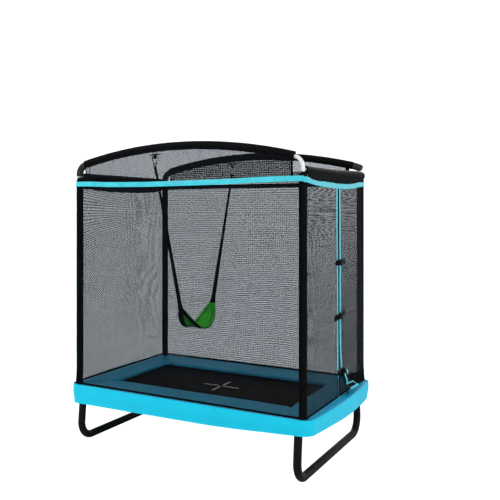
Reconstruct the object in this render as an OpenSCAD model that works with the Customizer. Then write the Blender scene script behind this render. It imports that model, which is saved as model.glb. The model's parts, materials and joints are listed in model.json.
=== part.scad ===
// Rectangular children's trampoline with an arched safety enclosure and a hanging sling swing.
// Origin: middle of the footprint on the ground. +X along the length, +Y towards the back, +Z up.

/* [Overall] */
// Height from the ground to the top of the arch sleeves
overall_h = 2110; // [2050:5:2250]
// Length of the safety pad
pad_l = 1900; // [1860:10:2000]
// Width of the safety pad
pad_w = 1220; // [1200:10:1300]
// Height of the pad's top above the ground
pad_top = 410; // [380:5:460]

/* [Pad and skirt] */
// Thickness of the pad at its crown
pad_thk = 22; // [18:1:30]
// Length of the opening over the mat
opening_l = 1380; // [1300:10:1420]
// Width of the opening over the mat
opening_w = 680; // [620:10:720]
// Outer corner radius of the pad
pad_corner_r = 80; // [60:5:90]
// How far the short ends of the pad bulge at their middle
pad_bulge_end = 20; // [0:2:24]
// How far the long sides of the pad bulge at their middle
pad_bulge_side = 5; // [0:1:6]
// Height of the skirt below the pad
skirt_h = 99; // [80:1:120]
// How much deeper the skirt hangs at the left end than at the door end
skirt_slant = 16; // [0:2:24]
// How far the lower edge of the skirt is drawn in
skirt_draw = 5; // [2:1:9]

/* [Bed frame] */
// Diameter of the bed rails
rail_d = 38; // [34:1:40]
// Wall of the bed rails
rail_wall = 1.5; // [1.2:0.1:2]
// Bend radius of the bed corners
rail_bend_r = 60; // [50:1:64]
// How far the end rails stand outside the posts
rail_end_offset = 35; // [32:1:40]
// How far the side rails stand inside the posts
rail_side_inset = 5; // [0:1:6]
// Length of the straight arm of a corner joint
arm_len = 70; // [60:1:90]
// Length of a push fit between two bed tubes
rail_spigot_len = 60; // [40:1:70]

/* [Legs] */
// Diameter of the leg tubes
leg_d = 52; // [42:1:54]
// Wall of the leg tubes
leg_wall = 1.6; // [1.2:0.1:2]
// Bend radius of the legs
leg_bend_r = 110; // [100:5:120]
// Outward lean of the leg uprights in degrees
leg_lean = 5.5; // [3:0.5:6]
// How far the legs stand inside the posts
leg_inset = 30; // [20:1:50]
// Length of the push fit between corner joint and leg
leg_spigot_len = 60; // [40:1:80]

/* [Bed] */
// Distance from a mat ring to the middle of a rail
spring_span = 150; // [140:1:160]
// Diameter of a spring's coil
spring_d = 18; // [16:1:20]
// Diameter of the spring wire
wire_d = 4; // [3:0.5:4]
// Number of springs on a long side
springs_long = 14; // [10:1:14]
// Number of springs on a short side
springs_short = 7; // [5:1:7]
// Distance between two springs
spring_pitch = 105; // [90:1:108]
// Thickness of the jumping mat
mat_thk = 2; // [1.5:0.5:3]
// Width of the mat's hem
hem_w = 40; // [30:1:60]
// Length of one arm of the mark on the mat
mark_arm = 120; // [80:5:150]
// Width of the mark's tape
mark_w = 15; // [10:1:25]
// Gap at the middle of the mark
mark_gap = 40; // [20:1:60]

/* [Enclosure frame] */
// Diameter of the post, arch and top rail tubes
tube_d = 25; // [22:1:28]
// Wall of the post, arch and top rail tubes
tube_wall = 1.5; // [1.2:0.1:2]
// Outer diameter of the foam sleeves
sleeve_d = 50; // [44:1:54]
// Distance of the posts from the pad's ends
post_end_inset = 90; // [80:1:94]
// Distance of the posts from the pad's sides
post_side_inset = 45; // [44:1:50]
// Bend radius of the elbows
elbow_r = 70; // [60:1:80]
// Straight part of an elbow over the post
elbow_len = 26; // [22:1:30]
// Radius of the arches
arch_r = 3360; // [2800:20:3600]
// Length of a push fit between two enclosure tubes
tube_spigot_len = 50; // [30:1:60]
// Diameter of the covers on three of the elbows
elbow_cover_d = 40; // [34:1:46]
// How far above the posts' tops these covers begin
cover_foot = 13; // [12:1:20]

/* [Net] */
// Thickness of the netting
net_thk = 1.5; // [1:0.5:2]
// Width of a strand of the netting's grid
strand_w = 6; // [4:1:12]
// How far the top of the webbing band lies below the posts' tops
band_drop = 19; // [10:1:60]
// Width of the webbing band
band_w = 41; // [30:1:50]
// Thickness of the webbing band
band_thk = 2; // [1:0.5:3]
// How far the band hangs down at the middle of the door end
band_sag = 30; // [10:1:40]

/* [Door] */
// Height of the lower end of the zip
zip_bottom = 560; // [520:5:600]
// Width of the zip tape
zip_w = 24; // [20:1:30]
// Width of the webbing along each edge of the zip
edging_w = 14; // [10:1:18]
// Height of the lower door buckle
buckle_low_z = 957; // [900:1:1000]
// Height of the upper door buckle
buckle_high_z = 1314; // [1250:1:1400]
// Height of a door buckle
buckle_h = 38; // [32:1:44]

/* [Swing] */
// Place of the swing along the length
swing_x = -210; // [-300:5:-150]
// Diameter of the swing's hinge pins
pin_d = 8; // [6:1:8]
// Width of the swing straps
strap_w = 30; // [25:1:34]
// Width of the swing straps at their hooks
strap_top_w = 14; // [10:1:20]
// Thickness of the swing straps
strap_thk = 3; // [2:0.5:4]
// Height of the seat's ends
seat_end_z = 955; // [900:5:1000]
// Height of the seat's lowest point
seat_low_z = 788; // [740:2:820]
// Distance between the two ends of the seat
seat_span = 500; // [440:10:540]
// Width of the seat at its middle
seat_w = 160; // [140:5:180]

/* [Hidden] */
seat_gap = 0.3;      // what lies on something lies this far from it
fit = 0.2;           // radial clearance of a push fit
hole_gap = 0.3;      // radial clearance of a screw or a hook in its hole
hidden_gap = 0.05;   // flat cloth on flat cloth
eps = 1;             // how far a cutter runs past a face
lap = 1;             // how far a straight tube runs into a bend
lap_step = 0.1;       // and how much thinner it is there
$fn = 48;

pad_bot = pad_top - pad_thk;
spring_z = pad_bot - seat_gap - spring_d/2;
rail_z = spring_z - wire_d/2 - seat_gap - rail_d/2;
ring_thk = 4;
ring_z = spring_z - wire_d/2 - seat_gap - ring_thk/2;

post_x = pad_l/2 - post_end_inset;
post_y = pad_w/2 - post_side_inset;
rail_x = post_x + rail_end_offset;
rail_y = post_y - rail_side_inset;
rail_r = rail_d/2;
rail_bore_r = rail_r - rail_wall;
bend_x = rail_x - rail_bend_r;
bend_y = rail_y - rail_bend_r;
joint_x = bend_x - arm_len;
joint_y = bend_y - arm_len;

leg_x = post_x - leg_inset;
leg_r = leg_d/2;
leg_bore_r = leg_r - leg_wall;
leg_run = (rail_z - leg_r - leg_bend_r*(1 + sin(leg_lean)))/cos(leg_lean);
leg_bend_y = rail_y + leg_run*sin(leg_lean) - leg_bend_r*cos(leg_lean);
leg_cup = rail_r + 5;

tube_r = tube_d/2;
tube_bore_r = tube_r - tube_wall;
sleeve_r = sleeve_d/2;
foam_bore_r = tube_r + seat_gap;
post_foot = rail_z + rail_r + 5;

arch_top = overall_h - sleeve_r;
arch_c = arch_top - arch_r;
// an elbow's bend runs into its arch without a kink
arch_half = asin((post_x - elbow_r)/(arch_r - elbow_r));
arch_end_x = arch_r*sin(arch_half);
arch_end_z = arch_c + arch_r*cos(arch_half);
post_top = arch_end_z - elbow_r*cos(arch_half) - elbow_len;
top_rail_z = post_top + tube_r + 1;

net_x = post_x + sleeve_r + seat_gap;
net_y = post_y + sleeve_r + seat_gap;
net_bot = pad_top + seat_gap;
net_end_top = top_rail_z - 8;
band_top = post_top - band_drop;
band_in = sleeve_r + seat_gap + net_thk + seat_gap;

mat_hx = rail_x - spring_span - 16;
mat_hy = rail_y - spring_span - 16;

zip_top = band_top - band_w - band_sag - 4;
tooth_w = 7;
tooth_h = 2;
tape_x = net_x + net_thk + tooth_h;
slider_x = tape_x + seat_gap;
slider_thk = 4;
tab_thk = 2;
buckle_x = slider_x + slider_thk + tab_thk + 1;
buckle_thk = 12;

STEEL = "#17181a";
FOAM = "#1c1d20";
BLUE = "#1dcde8";
PAD_BLUE = "#0a9bb9";
NET = "#2a2c30";

// ---------- building blocks ----------

module tube(h, r, bore) {
    difference() {
        cylinder(h=h, r=r);
        translate([0, 0, -eps]) cylinder(h=h + 2*eps, r=bore);
    }
}

// a stretch of bent tube in the XY plane, from angle a0 to angle a1
module bend(radius, r, bore, a0, a1) {
    rotate([0, 0, a0]) rotate_extrude(angle=a1 - a0, $fn=radius > 500 ? 720 : 96)
        translate([radius, 0]) difference() {
            circle(r=r, $fn=48);
            if (bore > 0) circle(r=bore, $fn=48);
        }
}

// mirrors what is drawn in the +X +Y corner into the corner (sx, sy)
module at_corner(sx, sy) {
    mirror([sx < 0 ? 1 : 0, 0, 0]) mirror([0, sy < 0 ? 1 : 0, 0]) children();
}

// plan outline with round corners, from squares and circles
module round_plan(hx, hy, r) {
    square([2*hx, 2*(hy - r)], center=true);
    square([2*(hx - r), 2*hy], center=true);
    for (sx=[-1, 1], sy=[-1, 1]) translate([sx*(hx - r), sy*(hy - r)]) circle(r=r);
}

// ---------- legs ----------

module leg(side) {
    color(STEEL) translate([side*leg_x, 0, 0]) rotate([90, 0, 90]) {
        translate([-leg_bend_y, leg_r, 0]) rotate([0, 90, 0]) tube(2*leg_bend_y, leg_r, leg_bore_r);
        for (m=[0, 1]) mirror([m, 0, 0]) {
            translate([leg_bend_y, leg_r + leg_bend_r, 0])
                bend(leg_bend_r, leg_r, leg_bore_r, -90, leg_lean);
            // the upright laps into the bend, a hair thinner than it
            translate([leg_bend_y + leg_bend_r*cos(leg_lean), leg_r + leg_bend_r*(1 + sin(leg_lean)), 0])
                rotate([-90, 0, leg_lean]) translate([0, 0, -lap])
                    tube(leg_run - leg_cup - seat_gap + lap, leg_r - lap_step, leg_bore_r + lap_step);
        }
    }
}

// ---------- bed frame ----------

bolt_r = 3;
post_spigot_len = 90;

module corner_joint_shape() {
    difference() {
        union() {
            translate([bend_x, bend_y, rail_z]) bend(rail_bend_r, rail_r, 0, 0, 90);
            translate([joint_x, rail_y, rail_z]) rotate([0, 90, 0]) cylinder(h=arm_len, r=rail_r);
            translate([rail_x, joint_y, rail_z]) rotate([-90, 0, 0]) cylinder(h=arm_len, r=rail_r);
            translate([joint_x - rail_spigot_len, rail_y, rail_z]) rotate([0, 90, 0])
                cylinder(h=rail_spigot_len, r=rail_bore_r - fit);
            translate([rail_x, joint_y - rail_spigot_len, rail_z]) rotate([-90, 0, 0])
                cylinder(h=rail_spigot_len, r=rail_bore_r - fit);
            // seat and spigot of the post
            translate([post_x, post_y, rail_z]) cylinder(h=post_foot - rail_z, r=tube_r + 1.5);
            translate([post_x, post_y, rail_z])
                cylinder(h=post_foot - rail_z + post_spigot_len, r=tube_bore_r - fit);
            // cup and spigot of the leg
            translate([leg_x, rail_y, rail_z]) rotate([180 + leg_lean, 0, 0]) {
                cylinder(h=leg_cup, r=leg_r);
                cylinder(h=leg_cup + leg_spigot_len, r=leg_bore_r - fit);
            }
        }
        translate([joint_x - rail_spigot_len - eps, rail_y, rail_z]) rotate([0, 90, 0])
            cylinder(h=rail_spigot_len + arm_len - 40, r=rail_bore_r - 3);
        translate([rail_x, joint_y - rail_spigot_len - eps, rail_z]) rotate([-90, 0, 0])
            cylinder(h=rail_spigot_len + arm_len - 20, r=rail_bore_r - 3);
        for (p=[[joint_x - rail_spigot_len/2, rail_y], [rail_x, joint_y - rail_spigot_len/2]])
            translate([p[0], p[1], rail_z - rail_d]) cylinder(h=rail_d, r=bolt_r + hole_gap);
    }
}

module corner_joint(sx, sy) {
    color(STEEL) at_corner(sx, sy) corner_joint_shape();
}

function spring_places(n) = [for (i=[0:n - 1]) (i - (n - 1)/2)*spring_pitch];

module rail(half, places) {
    color(STEEL) difference() {
        translate([-half, 0, 0]) rotate([0, 90, 0]) tube(2*half, rail_r, rail_bore_r);
        for (x=places) translate([x, 0, 0]) cylinder(h=rail_d, r=wire_d/2 + hole_gap);
        for (s=[-1, 1]) translate([s*(half - rail_spigot_len/2), 0, -rail_d])
            cylinder(h=rail_d, r=bolt_r + hole_gap);
    }
}

module rail_side(s) {
    translate([0, s*rail_y, rail_z]) rail(joint_x - seat_gap, spring_places(springs_long));
}

module rail_end(s) {
    translate([s*rail_x, 0, rail_z]) rotate([0, 0, 90])
        rail(joint_y - seat_gap, spring_places(springs_short));
}

module frame_bolts() {
    color("#8c9095") for (sx=[-1, 1], sy=[-1, 1]) at_corner(sx, sy)
        for (p=[[joint_x - rail_spigot_len/2, rail_y], [rail_x, joint_y - rail_spigot_len/2]])
            translate([p[0], p[1], rail_z - rail_r - seat_gap]) {
                cylinder(h=14, r=bolt_r);
                translate([0, 0, -4]) cylinder(h=4, r=6, $fn=6);
            }
}

// ---------- bed ----------

spring_neck = 22;    // straight wire between a ring and its coil
spring_tail = 32;    // and between the coil and the rail
hook_reach = 4;      // how far a spring's hook reaches below its ring
tail_reach = 10;     // and into the rail

// one spring, from its hook in a mat ring at the origin to its hook in the rail, along +X
module spring() {
    body = spring_span - spring_neck - spring_tail;
    hook_r = wire_d/2 - 0.1;
    translate([spring_neck, 0, 0]) rotate([0, 90, 0]) cylinder(h=body, r=spring_d/2);
    translate([-hook_r, 0, 0]) rotate([0, 90, 0]) cylinder(h=spring_span + 2*hook_r, r=wire_d/2);
    translate([0, 0, -ring_thk - hook_reach]) cylinder(h=ring_thk + hook_reach, r=hook_r);
    translate([spring_span, 0, -tail_reach]) cylinder(h=tail_reach, r=hook_r);
}

module ring_places() {
    for (s=[0, 180]) rotate([0, 0, s]) {
        for (y=spring_places(springs_short)) translate([rail_x - spring_span, y, 0]) children();
        for (x=spring_places(springs_long)) translate([x, rail_y - spring_span, 0])
            rotate([0, 0, 90]) children();
    }
}

module springs() {
    color("#a9adb2") translate([0, 0, spring_z]) ring_places() spring();
}

// triangular ring of steel rod, its long side along the mat's hem
module mat_rings() {
    base = -16 + seat_gap;
    bar = 3.5;
    color("#a9adb2") translate([0, 0, ring_z - ring_thk/2]) ring_places() linear_extrude(ring_thk)
        difference() {
            polygon([[base, -19], [base, 19], [wire_d, 7], [wire_d + 3, 0], [wire_d, -7]]);
            polygon([[base + bar, -12.5], [base + bar, 12.5], [0.8, wire_d], [wire_d, 0], [0.8, -wire_d]]);
        }
}

module jump_mat() {
    color("#121315") translate([0, 0, ring_z]) {
        linear_extrude(mat_thk, center=true) square([2*(mat_hx - hem_w), 2*(mat_hy - hem_w)], center=true);
        linear_extrude(ring_thk, center=true) difference() {
            square([2*mat_hx, 2*mat_hy], center=true);
            square([2*(mat_hx - hem_w), 2*(mat_hy - hem_w)], center=true);
        }
    }
}

module mat_mark() {
    color("#e9eaec") translate([0, 0, ring_z + mat_thk/2 + hidden_gap]) linear_extrude(0.6)
        for (a=[0, 90, 180, 270]) rotate([0, 0, a]) translate([mark_gap/2, -mark_w/2])
            square([mark_arm, mark_w]);
}

// ---------- pad and skirt ----------

corner_steps = 6;
side_steps = 12;
end_steps = 8;

// one quarter of a ring of points, from the end side to the long side, round the corner (sx, sy)
function corner_arc(hx, hy, r, q) = [for (i=[0:corner_steps])
    let(a = 90*q + 90*i/corner_steps, sx = (q == 0 || q == 3) ? 1 : -1, sy = (q < 2) ? 1 : -1)
    [sx*(hx - r) + r*cos(a), sy*(hy - r) + r*sin(a)]];

// the points between two corner arcs, pushed out by the bulge
function side_points(p, q, n, bulge, dir) = [for (i=[1:n - 1]) let(t = i/n)
    p*(1 - t) + q*t + dir*bulge*4*t*(1 - t)];

// closed ring of points: a rectangle with round corners and bulging sides
function ring_plan(hx, hy, r, bulge_end, bulge_side) =
    let(x = hx - bulge_end, y = hy - bulge_side, c = [for (q=[0:3]) corner_arc(x, y, r, q)])
    concat(
        c[0], side_points(c[0][corner_steps], c[1][0], side_steps, bulge_side, [0, 1]),
        c[1], side_points(c[1][corner_steps], c[2][0], end_steps, bulge_end, [-1, 0]),
        c[2], side_points(c[2][corner_steps], c[3][0], side_steps, bulge_side, [0, -1]),
        c[3], side_points(c[3][corner_steps], c[0][0], end_steps, bulge_end, [1, 0]));

// a solid from rings of points, each joined to the next and the last to the first
module ring_solid(rings) {
    m = len(rings);
    n = len(rings[0]);
    faces = [for (j=[0:m - 1], i=[0:n - 1])
        let(a = j*n + i, b = j*n + (i + 1)%n, c = ((j + 1)%m)*n + (i + 1)%n, d = ((j + 1)%m)*n + i)
        each [[a, c, b], [a, d, c]]];
    polyhedron(points=[for (r=rings) each r], faces=faces, convexity=6);
}

// corner columns of a ring where the pad's mitred seams run
function is_seam(i, n) =
    let(s0 = corner_steps/2, quarter = corner_steps + 1)
    i == s0 || i == quarter + side_steps - 1 + s0
    || i == 2*quarter + side_steps + end_steps - 2 + s0
    || i == 3*quarter + 2*side_steps + end_steps - 3 + s0;

// [share of the way from the opening to the outer edge, share of the thickness]
pad_profile = [[0, 0.1], [0, 0.55], [0.025, 0.85], [0.1, 0.96], [0.3, 1], [0.68, 1],
    [0.9, 0.95], [0.975, 0.82], [1, 0.5], [1, 0.1], [0.99, 0], [0.01, 0]];
seam_depth = 0.22;

module safety_pad() {
    inner = ring_plan(opening_l/2, opening_w/2, 8, 0, 0);
    outer = ring_plan(pad_l/2, pad_w/2, pad_corner_r, pad_bulge_end, pad_bulge_side);
    n = len(inner);
    rings = [for (k=pad_profile) [for (i=[0:n - 1])
        let(p = inner[i]*(1 - k[0]) + outer[i]*k[0], dip = (is_seam(i, n) && k[1] > 0.9) ? seam_depth : 0)
        [p[0], p[1], pad_bot + pad_thk*(k[1] - dip)]]];
    color(PAD_BLUE) difference() {
        ring_solid(rings);
        for (sx=[-1, 1], sy=[-1, 1]) translate([sx*post_x, sy*post_y, pad_bot - eps])
            cylinder(h=pad_thk + 2*eps, r=tube_r + 1.5 + seat_gap);
    }
}

skirt_thk = 2;

module pad_skirt() {
    top = pad_bot - seat_gap;
    // [drop, how far in from the pad's edge, extra corner radius]
    drops = [[0, 2], [0.5, 2 + skirt_draw*0.2], [0.85, 2 + skirt_draw*0.6], [1, 2 + skirt_draw]];
    face = function (in, off) ring_plan(pad_l/2 - in - off, pad_w/2 - in - off,
        pad_corner_r - off + in, pad_bulge_end, pad_bulge_side);
    lift = function (ring, share) [for (p=ring)
        [p[0], p[1], top - share*(skirt_h - skirt_slant*p[0]/pad_l)]];
    outside = [for (d=drops) lift(face(d[1], 0), d[0])];
    inside = [for (i=[len(drops) - 1:-1:0]) lift(face(drops[i][1], skirt_thk), drops[i][0])];
    color(BLUE) ring_solid([for (i=[len(outside) - 1:-1:0]) outside[i],
        for (i=[len(inside) - 1:-1:0]) inside[i]]);
}

// ---------- posts, elbows, arches and top rails ----------

module post(sx, sy) {
    color(STEEL) at_corner(sx, sy) translate([post_x, post_y, post_foot + seat_gap])
        tube(post_top - post_foot - seat_gap, tube_r, tube_bore_r);
}

module post_sleeve(sx, sy) {
    color(FOAM) at_corner(sx, sy) translate([post_x, post_y, pad_top + seat_gap])
        tube(post_top - pad_top - 12, sleeve_r, foam_bore_r);
}

// fitting that joins a post, an arch and a top rail
module elbow_shape() {
    spigot_r = tube_bore_r - fit;
    translate([post_x, post_y, post_top + seat_gap]) cylinder(h=elbow_len - seat_gap, r=tube_r);
    translate([post_x, post_y, post_top - tube_spigot_len]) cylinder(h=tube_spigot_len + 2, r=spigot_r);
    translate([post_x - elbow_r, post_y, post_top + elbow_len]) rotate([90, 0, 0])
        bend(elbow_r, tube_r, 0, 0, 90 - arch_half - arch_trim);
    // slimmer, because the arch curves away from this straight push fit
    translate([0, post_y, arch_c]) rotate([0, arch_half, 0]) translate([0, 0, arch_r])
        rotate([0, -90, 0]) translate([0, 0, -3])
            cylinder(h=tube_spigot_len + 3, r=spigot_r - tube_spigot_len*tube_spigot_len/(2*arch_r));
    translate([post_x, post_y, top_rail_z]) rotate([90, 0, 0]) {
        cylinder(h=50, r=tube_r - 0.5);
        cylinder(h=50 + tube_spigot_len, r=spigot_r);
    }
}

module elbow(sx, sy) {
    color("#f2f3f4") at_corner(sx, sy) elbow_shape();
}

// bar along an elbow, from its straight part to its arch, longer by past at both ends
module cover_bar(r, past) {
    translate([post_x - elbow_r, post_y, post_top + elbow_len]) rotate([90, 0, 0])
        bend(elbow_r, r, 0, 0, 89.5 - arch_half + past);
    translate([post_x, post_y, post_top + cover_foot - past])
        cylinder(h=elbow_len - cover_foot + past + lap, r=r - (past > 0 ? 0 : lap_step));
}

// cover over the bend of an elbow, notched for the top rail
module elbow_cover(sx, sy) {
    at_corner(sx, sy) difference() {
        cover_bar(elbow_cover_d/2, 0);
        cover_bar(foam_bore_r, eps);
        translate([post_x, post_y, top_rail_z]) rotate([90, 0, 0])
            cylinder(h=elbow_cover_d, r=tube_r + seat_gap);
    }
}

// the elbow in front at the door end stays bare
module elbow_covers() {
    color("#26302e") for (c=[[-1, -1], [-1, 1], [1, 1]]) elbow_cover(c[0], c[1]);
}

module elbow_screws() {
    color("#8c9095") for (sx=[-1, 1], sy=[-1, 1]) at_corner(sx, sy)
        translate([post_x, post_y + tube_r + seat_gap, post_top + 8]) rotate([-90, 0, 0])
            cylinder(h=2, r=3);
}

arch_trim = 0.01;     // degrees between an arch and its elbows
sleeve_trim = 0.05;   // degrees left bare at each end of an arch sleeve
arch_turn = asin(swing_x/arch_r);
stud_r = 3;
stud_pitch = 30;

module arch_studs() {
    translate([0, 0, arch_c]) rotate([0, arch_turn, 0]) for (s=[-1, 1])
        translate([s*stud_pitch/2, 0, arch_r - sleeve_r - 6]) children();
}

module arch(sy) {
    color(STEEL) translate([0, sy*post_y, 0]) difference() {
        translate([0, 0, arch_c]) rotate([90, 0, 0])
            bend(arch_r, tube_r, tube_bore_r, 90 - arch_half + arch_trim, 90 + arch_half - arch_trim);
        arch_studs() cylinder(h=sleeve_r, r=stud_r + hole_gap);
    }
}

module arch_sleeve(sy) {
    color(FOAM) translate([0, sy*post_y, 0]) difference() {
        translate([0, 0, arch_c]) rotate([90, 0, 0])
            bend(arch_r, sleeve_r, foam_bore_r, 90 - arch_half + sleeve_trim, 90 + arch_half - sleeve_trim);
        arch_studs() cylinder(h=sleeve_r, r=stud_r + hole_gap);
    }
}

module top_rail(sx) {
    half = post_y - 50 - seat_gap;
    color(STEEL) translate([sx*post_x, half, top_rail_z]) rotate([90, 0, 0])
        tube(2*half, tube_r, tube_bore_r);
}

module top_sleeve(sx) {
    half = post_y - sleeve_r - 2;
    color(FOAM) translate([sx*post_x, half, top_rail_z]) rotate([90, 0, 0])
        tube(2*half, sleeve_r - 1, foam_bore_r);
}

// ---------- net ----------

// openings of a net panel w wide, in n by m cells, left of the strands
module net_cells(x0, x1, z0, z1, n, m) {
    cw = (x1 - x0 - strand_w)/n;
    ch = (z1 - z0 - strand_w)/m;
    for (i=[0:n - 1], j=[0:m - 1])
        translate([x0 + strand_w + i*cw, z0 + strand_w + j*ch]) square([cw - strand_w, ch - strand_w]);
}

// side panel: straight up to the arch, and its top cut to the arch's curve
module net_side(sy) {
    color(NET, 0.5) translate([0, sy*(net_y + net_thk/2), 0]) rotate([90, 0, 0])
        linear_extrude(net_thk, center=true) difference() {
            intersection() {
                translate([-post_x, net_bot]) square([2*post_x, overall_h - net_bot]);
                union() {
                    translate([-post_x, net_bot]) square([2*post_x, post_top - net_bot]);
                    intersection() {
                        translate([0, arch_c]) circle(r=arch_r - 8, $fn=360);
                        translate([-arch_end_x, post_top - 1]) square([2*arch_end_x, overall_h - post_top]);
                    }
                }
            }
            net_cells(-post_x, post_x, net_bot, band_top, 10, 8);
            intersection() {
                net_cells(-arch_end_x, arch_end_x, band_top, arch_top, 10, 1);
                translate([0, arch_c]) circle(r=arch_r - 8 - strand_w, $fn=360);
            }
        }
}

// end panel from y0 to y1, up to the top rail
module net_end(sx, y0, y1, n) {
    color(NET, 0.5) translate([sx*(net_x + net_thk/2), 0, 0]) rotate([90, 0, 90])
        linear_extrude(net_thk, center=true) difference() {
            translate([y0, net_bot]) square([y1 - y0, net_end_top - net_bot]);
            net_cells(y0, y1, net_bot, band_top, n, 8);
        }
}

net_slit = zip_w/2 + seat_gap;

module net_band() {
    out_r = band_in + band_thk;
    color(BLUE) {
        translate([0, 0, band_top - band_w]) linear_extrude(band_w) difference() {
            round_plan(post_x + out_r, post_y + out_r, out_r);
            round_plan(post_x + band_in, post_y + band_in, band_in);
            translate([post_x, -post_y]) square([2*out_r, 2*post_y]);
        }
        // the door end hangs down a little at its middle
        steps = 24;
        curve = [for (i=[0:steps]) let(t = 2*i/steps - 1) [post_y*t, band_top - band_sag*(1 - t*t)]];
        translate([post_x + band_in, 0, 0]) rotate([90, 0, 90]) linear_extrude(band_thk)
            polygon(concat(curve, [for (i=[steps:-1:0]) curve[i] - [0, band_w]]));
    }
}

tie_r = 2;

// elastic cords from the ends of the arches to the band's corners
module net_ties() {
    color("#101112") for (sx=[-1, 1], sy=[-1, 1]) at_corner(sx, sy) for (lean=[-12, 12])
        translate([arch_end_x - 30, net_y - tie_r - seat_gap, band_top - 30]) rotate([0, lean, 0])
            cylinder(h=arch_end_z - band_top + 8, r=tie_r);
}

// ---------- door ----------

module door_zip() {
    color("#0f1011") translate([net_x, 0, zip_bottom]) {
        translate([0, -zip_w/2, 0]) cube([net_thk, zip_w, net_end_top - zip_bottom]);
        translate([net_thk - 0.5, -tooth_w/2, 0]) cube([tooth_h + 0.5, tooth_w, zip_top - zip_bottom]);
    }
}

module door_edging() {
    color(BLUE) for (s=[-1, 1]) translate([net_x + net_thk + seat_gap, s*(zip_w/2 + edging_w/2), 0])
        translate([0, -edging_w/2, zip_bottom - 20]) cube([1.5, edging_w, zip_top - zip_bottom + 20]);
}

// two cloth flaps that spread out over the pad below the zip
module door_flaps() {
    h = zip_bottom - 24 - pad_top;
    color(BLUE) for (s=[-1, 1]) translate([net_x + net_thk + seat_gap, s*6, zip_bottom - 22])
        rotate([0, -14, 0]) rotate([90, 0, 90]) linear_extrude(1.5)
            polygon([[0, 0], [s*26, 0], [s*(26 + h*0.5), -h*0.93], [s*4, -h*0.93]]);
}

module zip_slider() {
    color("#0b0b0c") translate([slider_x, 0, zip_bottom + 4]) {
        linear_extrude(26) polygon([[0, -7], [slider_thk, -5], [slider_thk, 5], [0, 7]]);
        translate([slider_thk - 0.5, -4, -30]) cube([tab_thk + 0.5, 8, 46]);
    }
}

socket_l = 32;
plug_reach = 24;
buckle_wall = 2;

// the socket opens towards -Y; its strap is sewn to the back door panel
module buckle_socket(z) {
    w = buckle_wall;
    h = buckle_h;
    translate([buckle_x, 2, z - h/2]) difference() {
        cube([buckle_thk, socket_l, h]);
        translate([w, -eps, w]) cube([buckle_thk - 2*w, socket_l - 3 + eps, h - 2*w]);
        for (s=[-eps, h - w - eps]) translate([w, 8, s]) cube([buckle_thk - 2*w, 12, w + 2*eps]);
    }
    tail(z, 2 + socket_l - 0.5, 1);
}

// strap from a buckle half down to the net
module tail(z, start, s) {
    reach = 44;
    lift = buckle_x + buckle_thk/2 - net_x - net_thk - seat_gap;
    translate([net_x + net_thk + seat_gap, 0, z - 12.5]) linear_extrude(25) polygon([
        [lift - 1, s*start], [lift + 1, s*start], [1.8, s*(start + reach)], [1.8, s*(start + reach + 22)],
        [0, s*(start + reach + 22)], [0, s*(start + reach)]]);
}

module buckle_sockets() {
    color("#0b0b0c") for (z=[buckle_low_z, buckle_high_z]) buckle_socket(z);
}

// the plug's two prongs reach into the socket; it draws out towards -Y
module buckle_plug(z) {
    w = buckle_wall + seat_gap;
    h = buckle_h;
    lift = buckle_x + buckle_thk/2 - net_x - net_thk - seat_gap;
    color("#0b0b0c") {
        translate([buckle_x, -22, z - h/2]) cube([buckle_thk, 22, h]);
        for (s=[-1, 1]) translate([buckle_x + w, -1, z + s*(h/2 - w - 3.5) - 3.5])
            cube([buckle_thk - 2*w, plug_reach, 7]);
        translate([buckle_x + w, -1, z - 3]) cube([buckle_thk - 2*w, plug_reach - 6, 6]);
        translate([net_x + net_thk + 1.2, 0, z - 12.5]) linear_extrude(25) polygon([
            [lift - 2, -21.5], [lift, -21.5], [1.2, -58], [0, -58], [0, -56]]);
    }
}

// ---------- swing ----------

bracket_l = 75;
bracket_thk = 6;
bracket_drop = 14;   // between the arch's sleeve and the bracket's plate
ear_thk = 4;
ear_gap = 9;
ear_r = pin_d/2 + 2.5;
pin_drop = 18.5;
// the hinge pin hangs square below the arch at the swing's place
pin_line = arch_r - sleeve_r - bracket_drop - bracket_thk - pin_drop;
pin_x = pin_line*sin(arch_turn);
pin_z = arch_c + pin_line*cos(arch_turn);

module swing_bracket() {
    top = arch_r - sleeve_r - bracket_drop;
    translate([0, 0, arch_c]) rotate([0, arch_turn, 0]) {
        translate([-bracket_l/2, -12, top - bracket_thk]) cube([bracket_l, 24, bracket_thk]);
        for (s=[-1, 1]) {
            translate([-ear_r, s*(ear_gap/2 + ear_thk/2) - ear_thk/2, pin_line])
                cube([2*ear_r, ear_thk, pin_drop + 1]);
            translate([0, s*(ear_gap/2 + ear_thk/2) + ear_thk/2, pin_line]) rotate([90, 0, 0])
                cylinder(h=ear_thk, r=ear_r);
            translate([s*stud_pitch/2, 0, top - 1])
                cylinder(h=bracket_drop + sleeve_r - tube_r + 1 + tube_wall, r=stud_r);
        }
        translate([0, ear_gap/2 + 1, pin_line]) rotate([90, 0, 0]) cylinder(h=ear_gap + 2, r=pin_d/2);
    }
}

module swing_brackets() {
    color(STEEL) for (sy=[-1, 1]) translate([0, sy*post_y, 0]) swing_bracket();
}

hook_thk = 8;
hook_w = 7;
hook_in = pin_d/2 + seat_gap;
gate_pivot = [12.2, -33];
gate_knuckle = 3.4;
gate_tip = [20.4, -6];
hook_foot = 42;      // from the pin down to the hook's swivel
bar_drop = 62;
bar_r = 3;

// snap hook round the hinge pin, seen along Y, with the pin at the origin
module hook_outline() {
    difference() {
        polygon([[-16, hook_in + hook_w], [16, hook_in + hook_w], [22, hook_in + 3], [24, 0], [13, -42],
            [8, -45], [-8, -45], [-13, -42], [-24, 0], [-22, hook_in + 3]]);
        polygon([[-13, hook_in], [13, hook_in], [17, -1], [7.5, -36], [4, -38],
            [-4, -38], [-7.5, -36], [-17, -1]]);
    }
}

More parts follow.
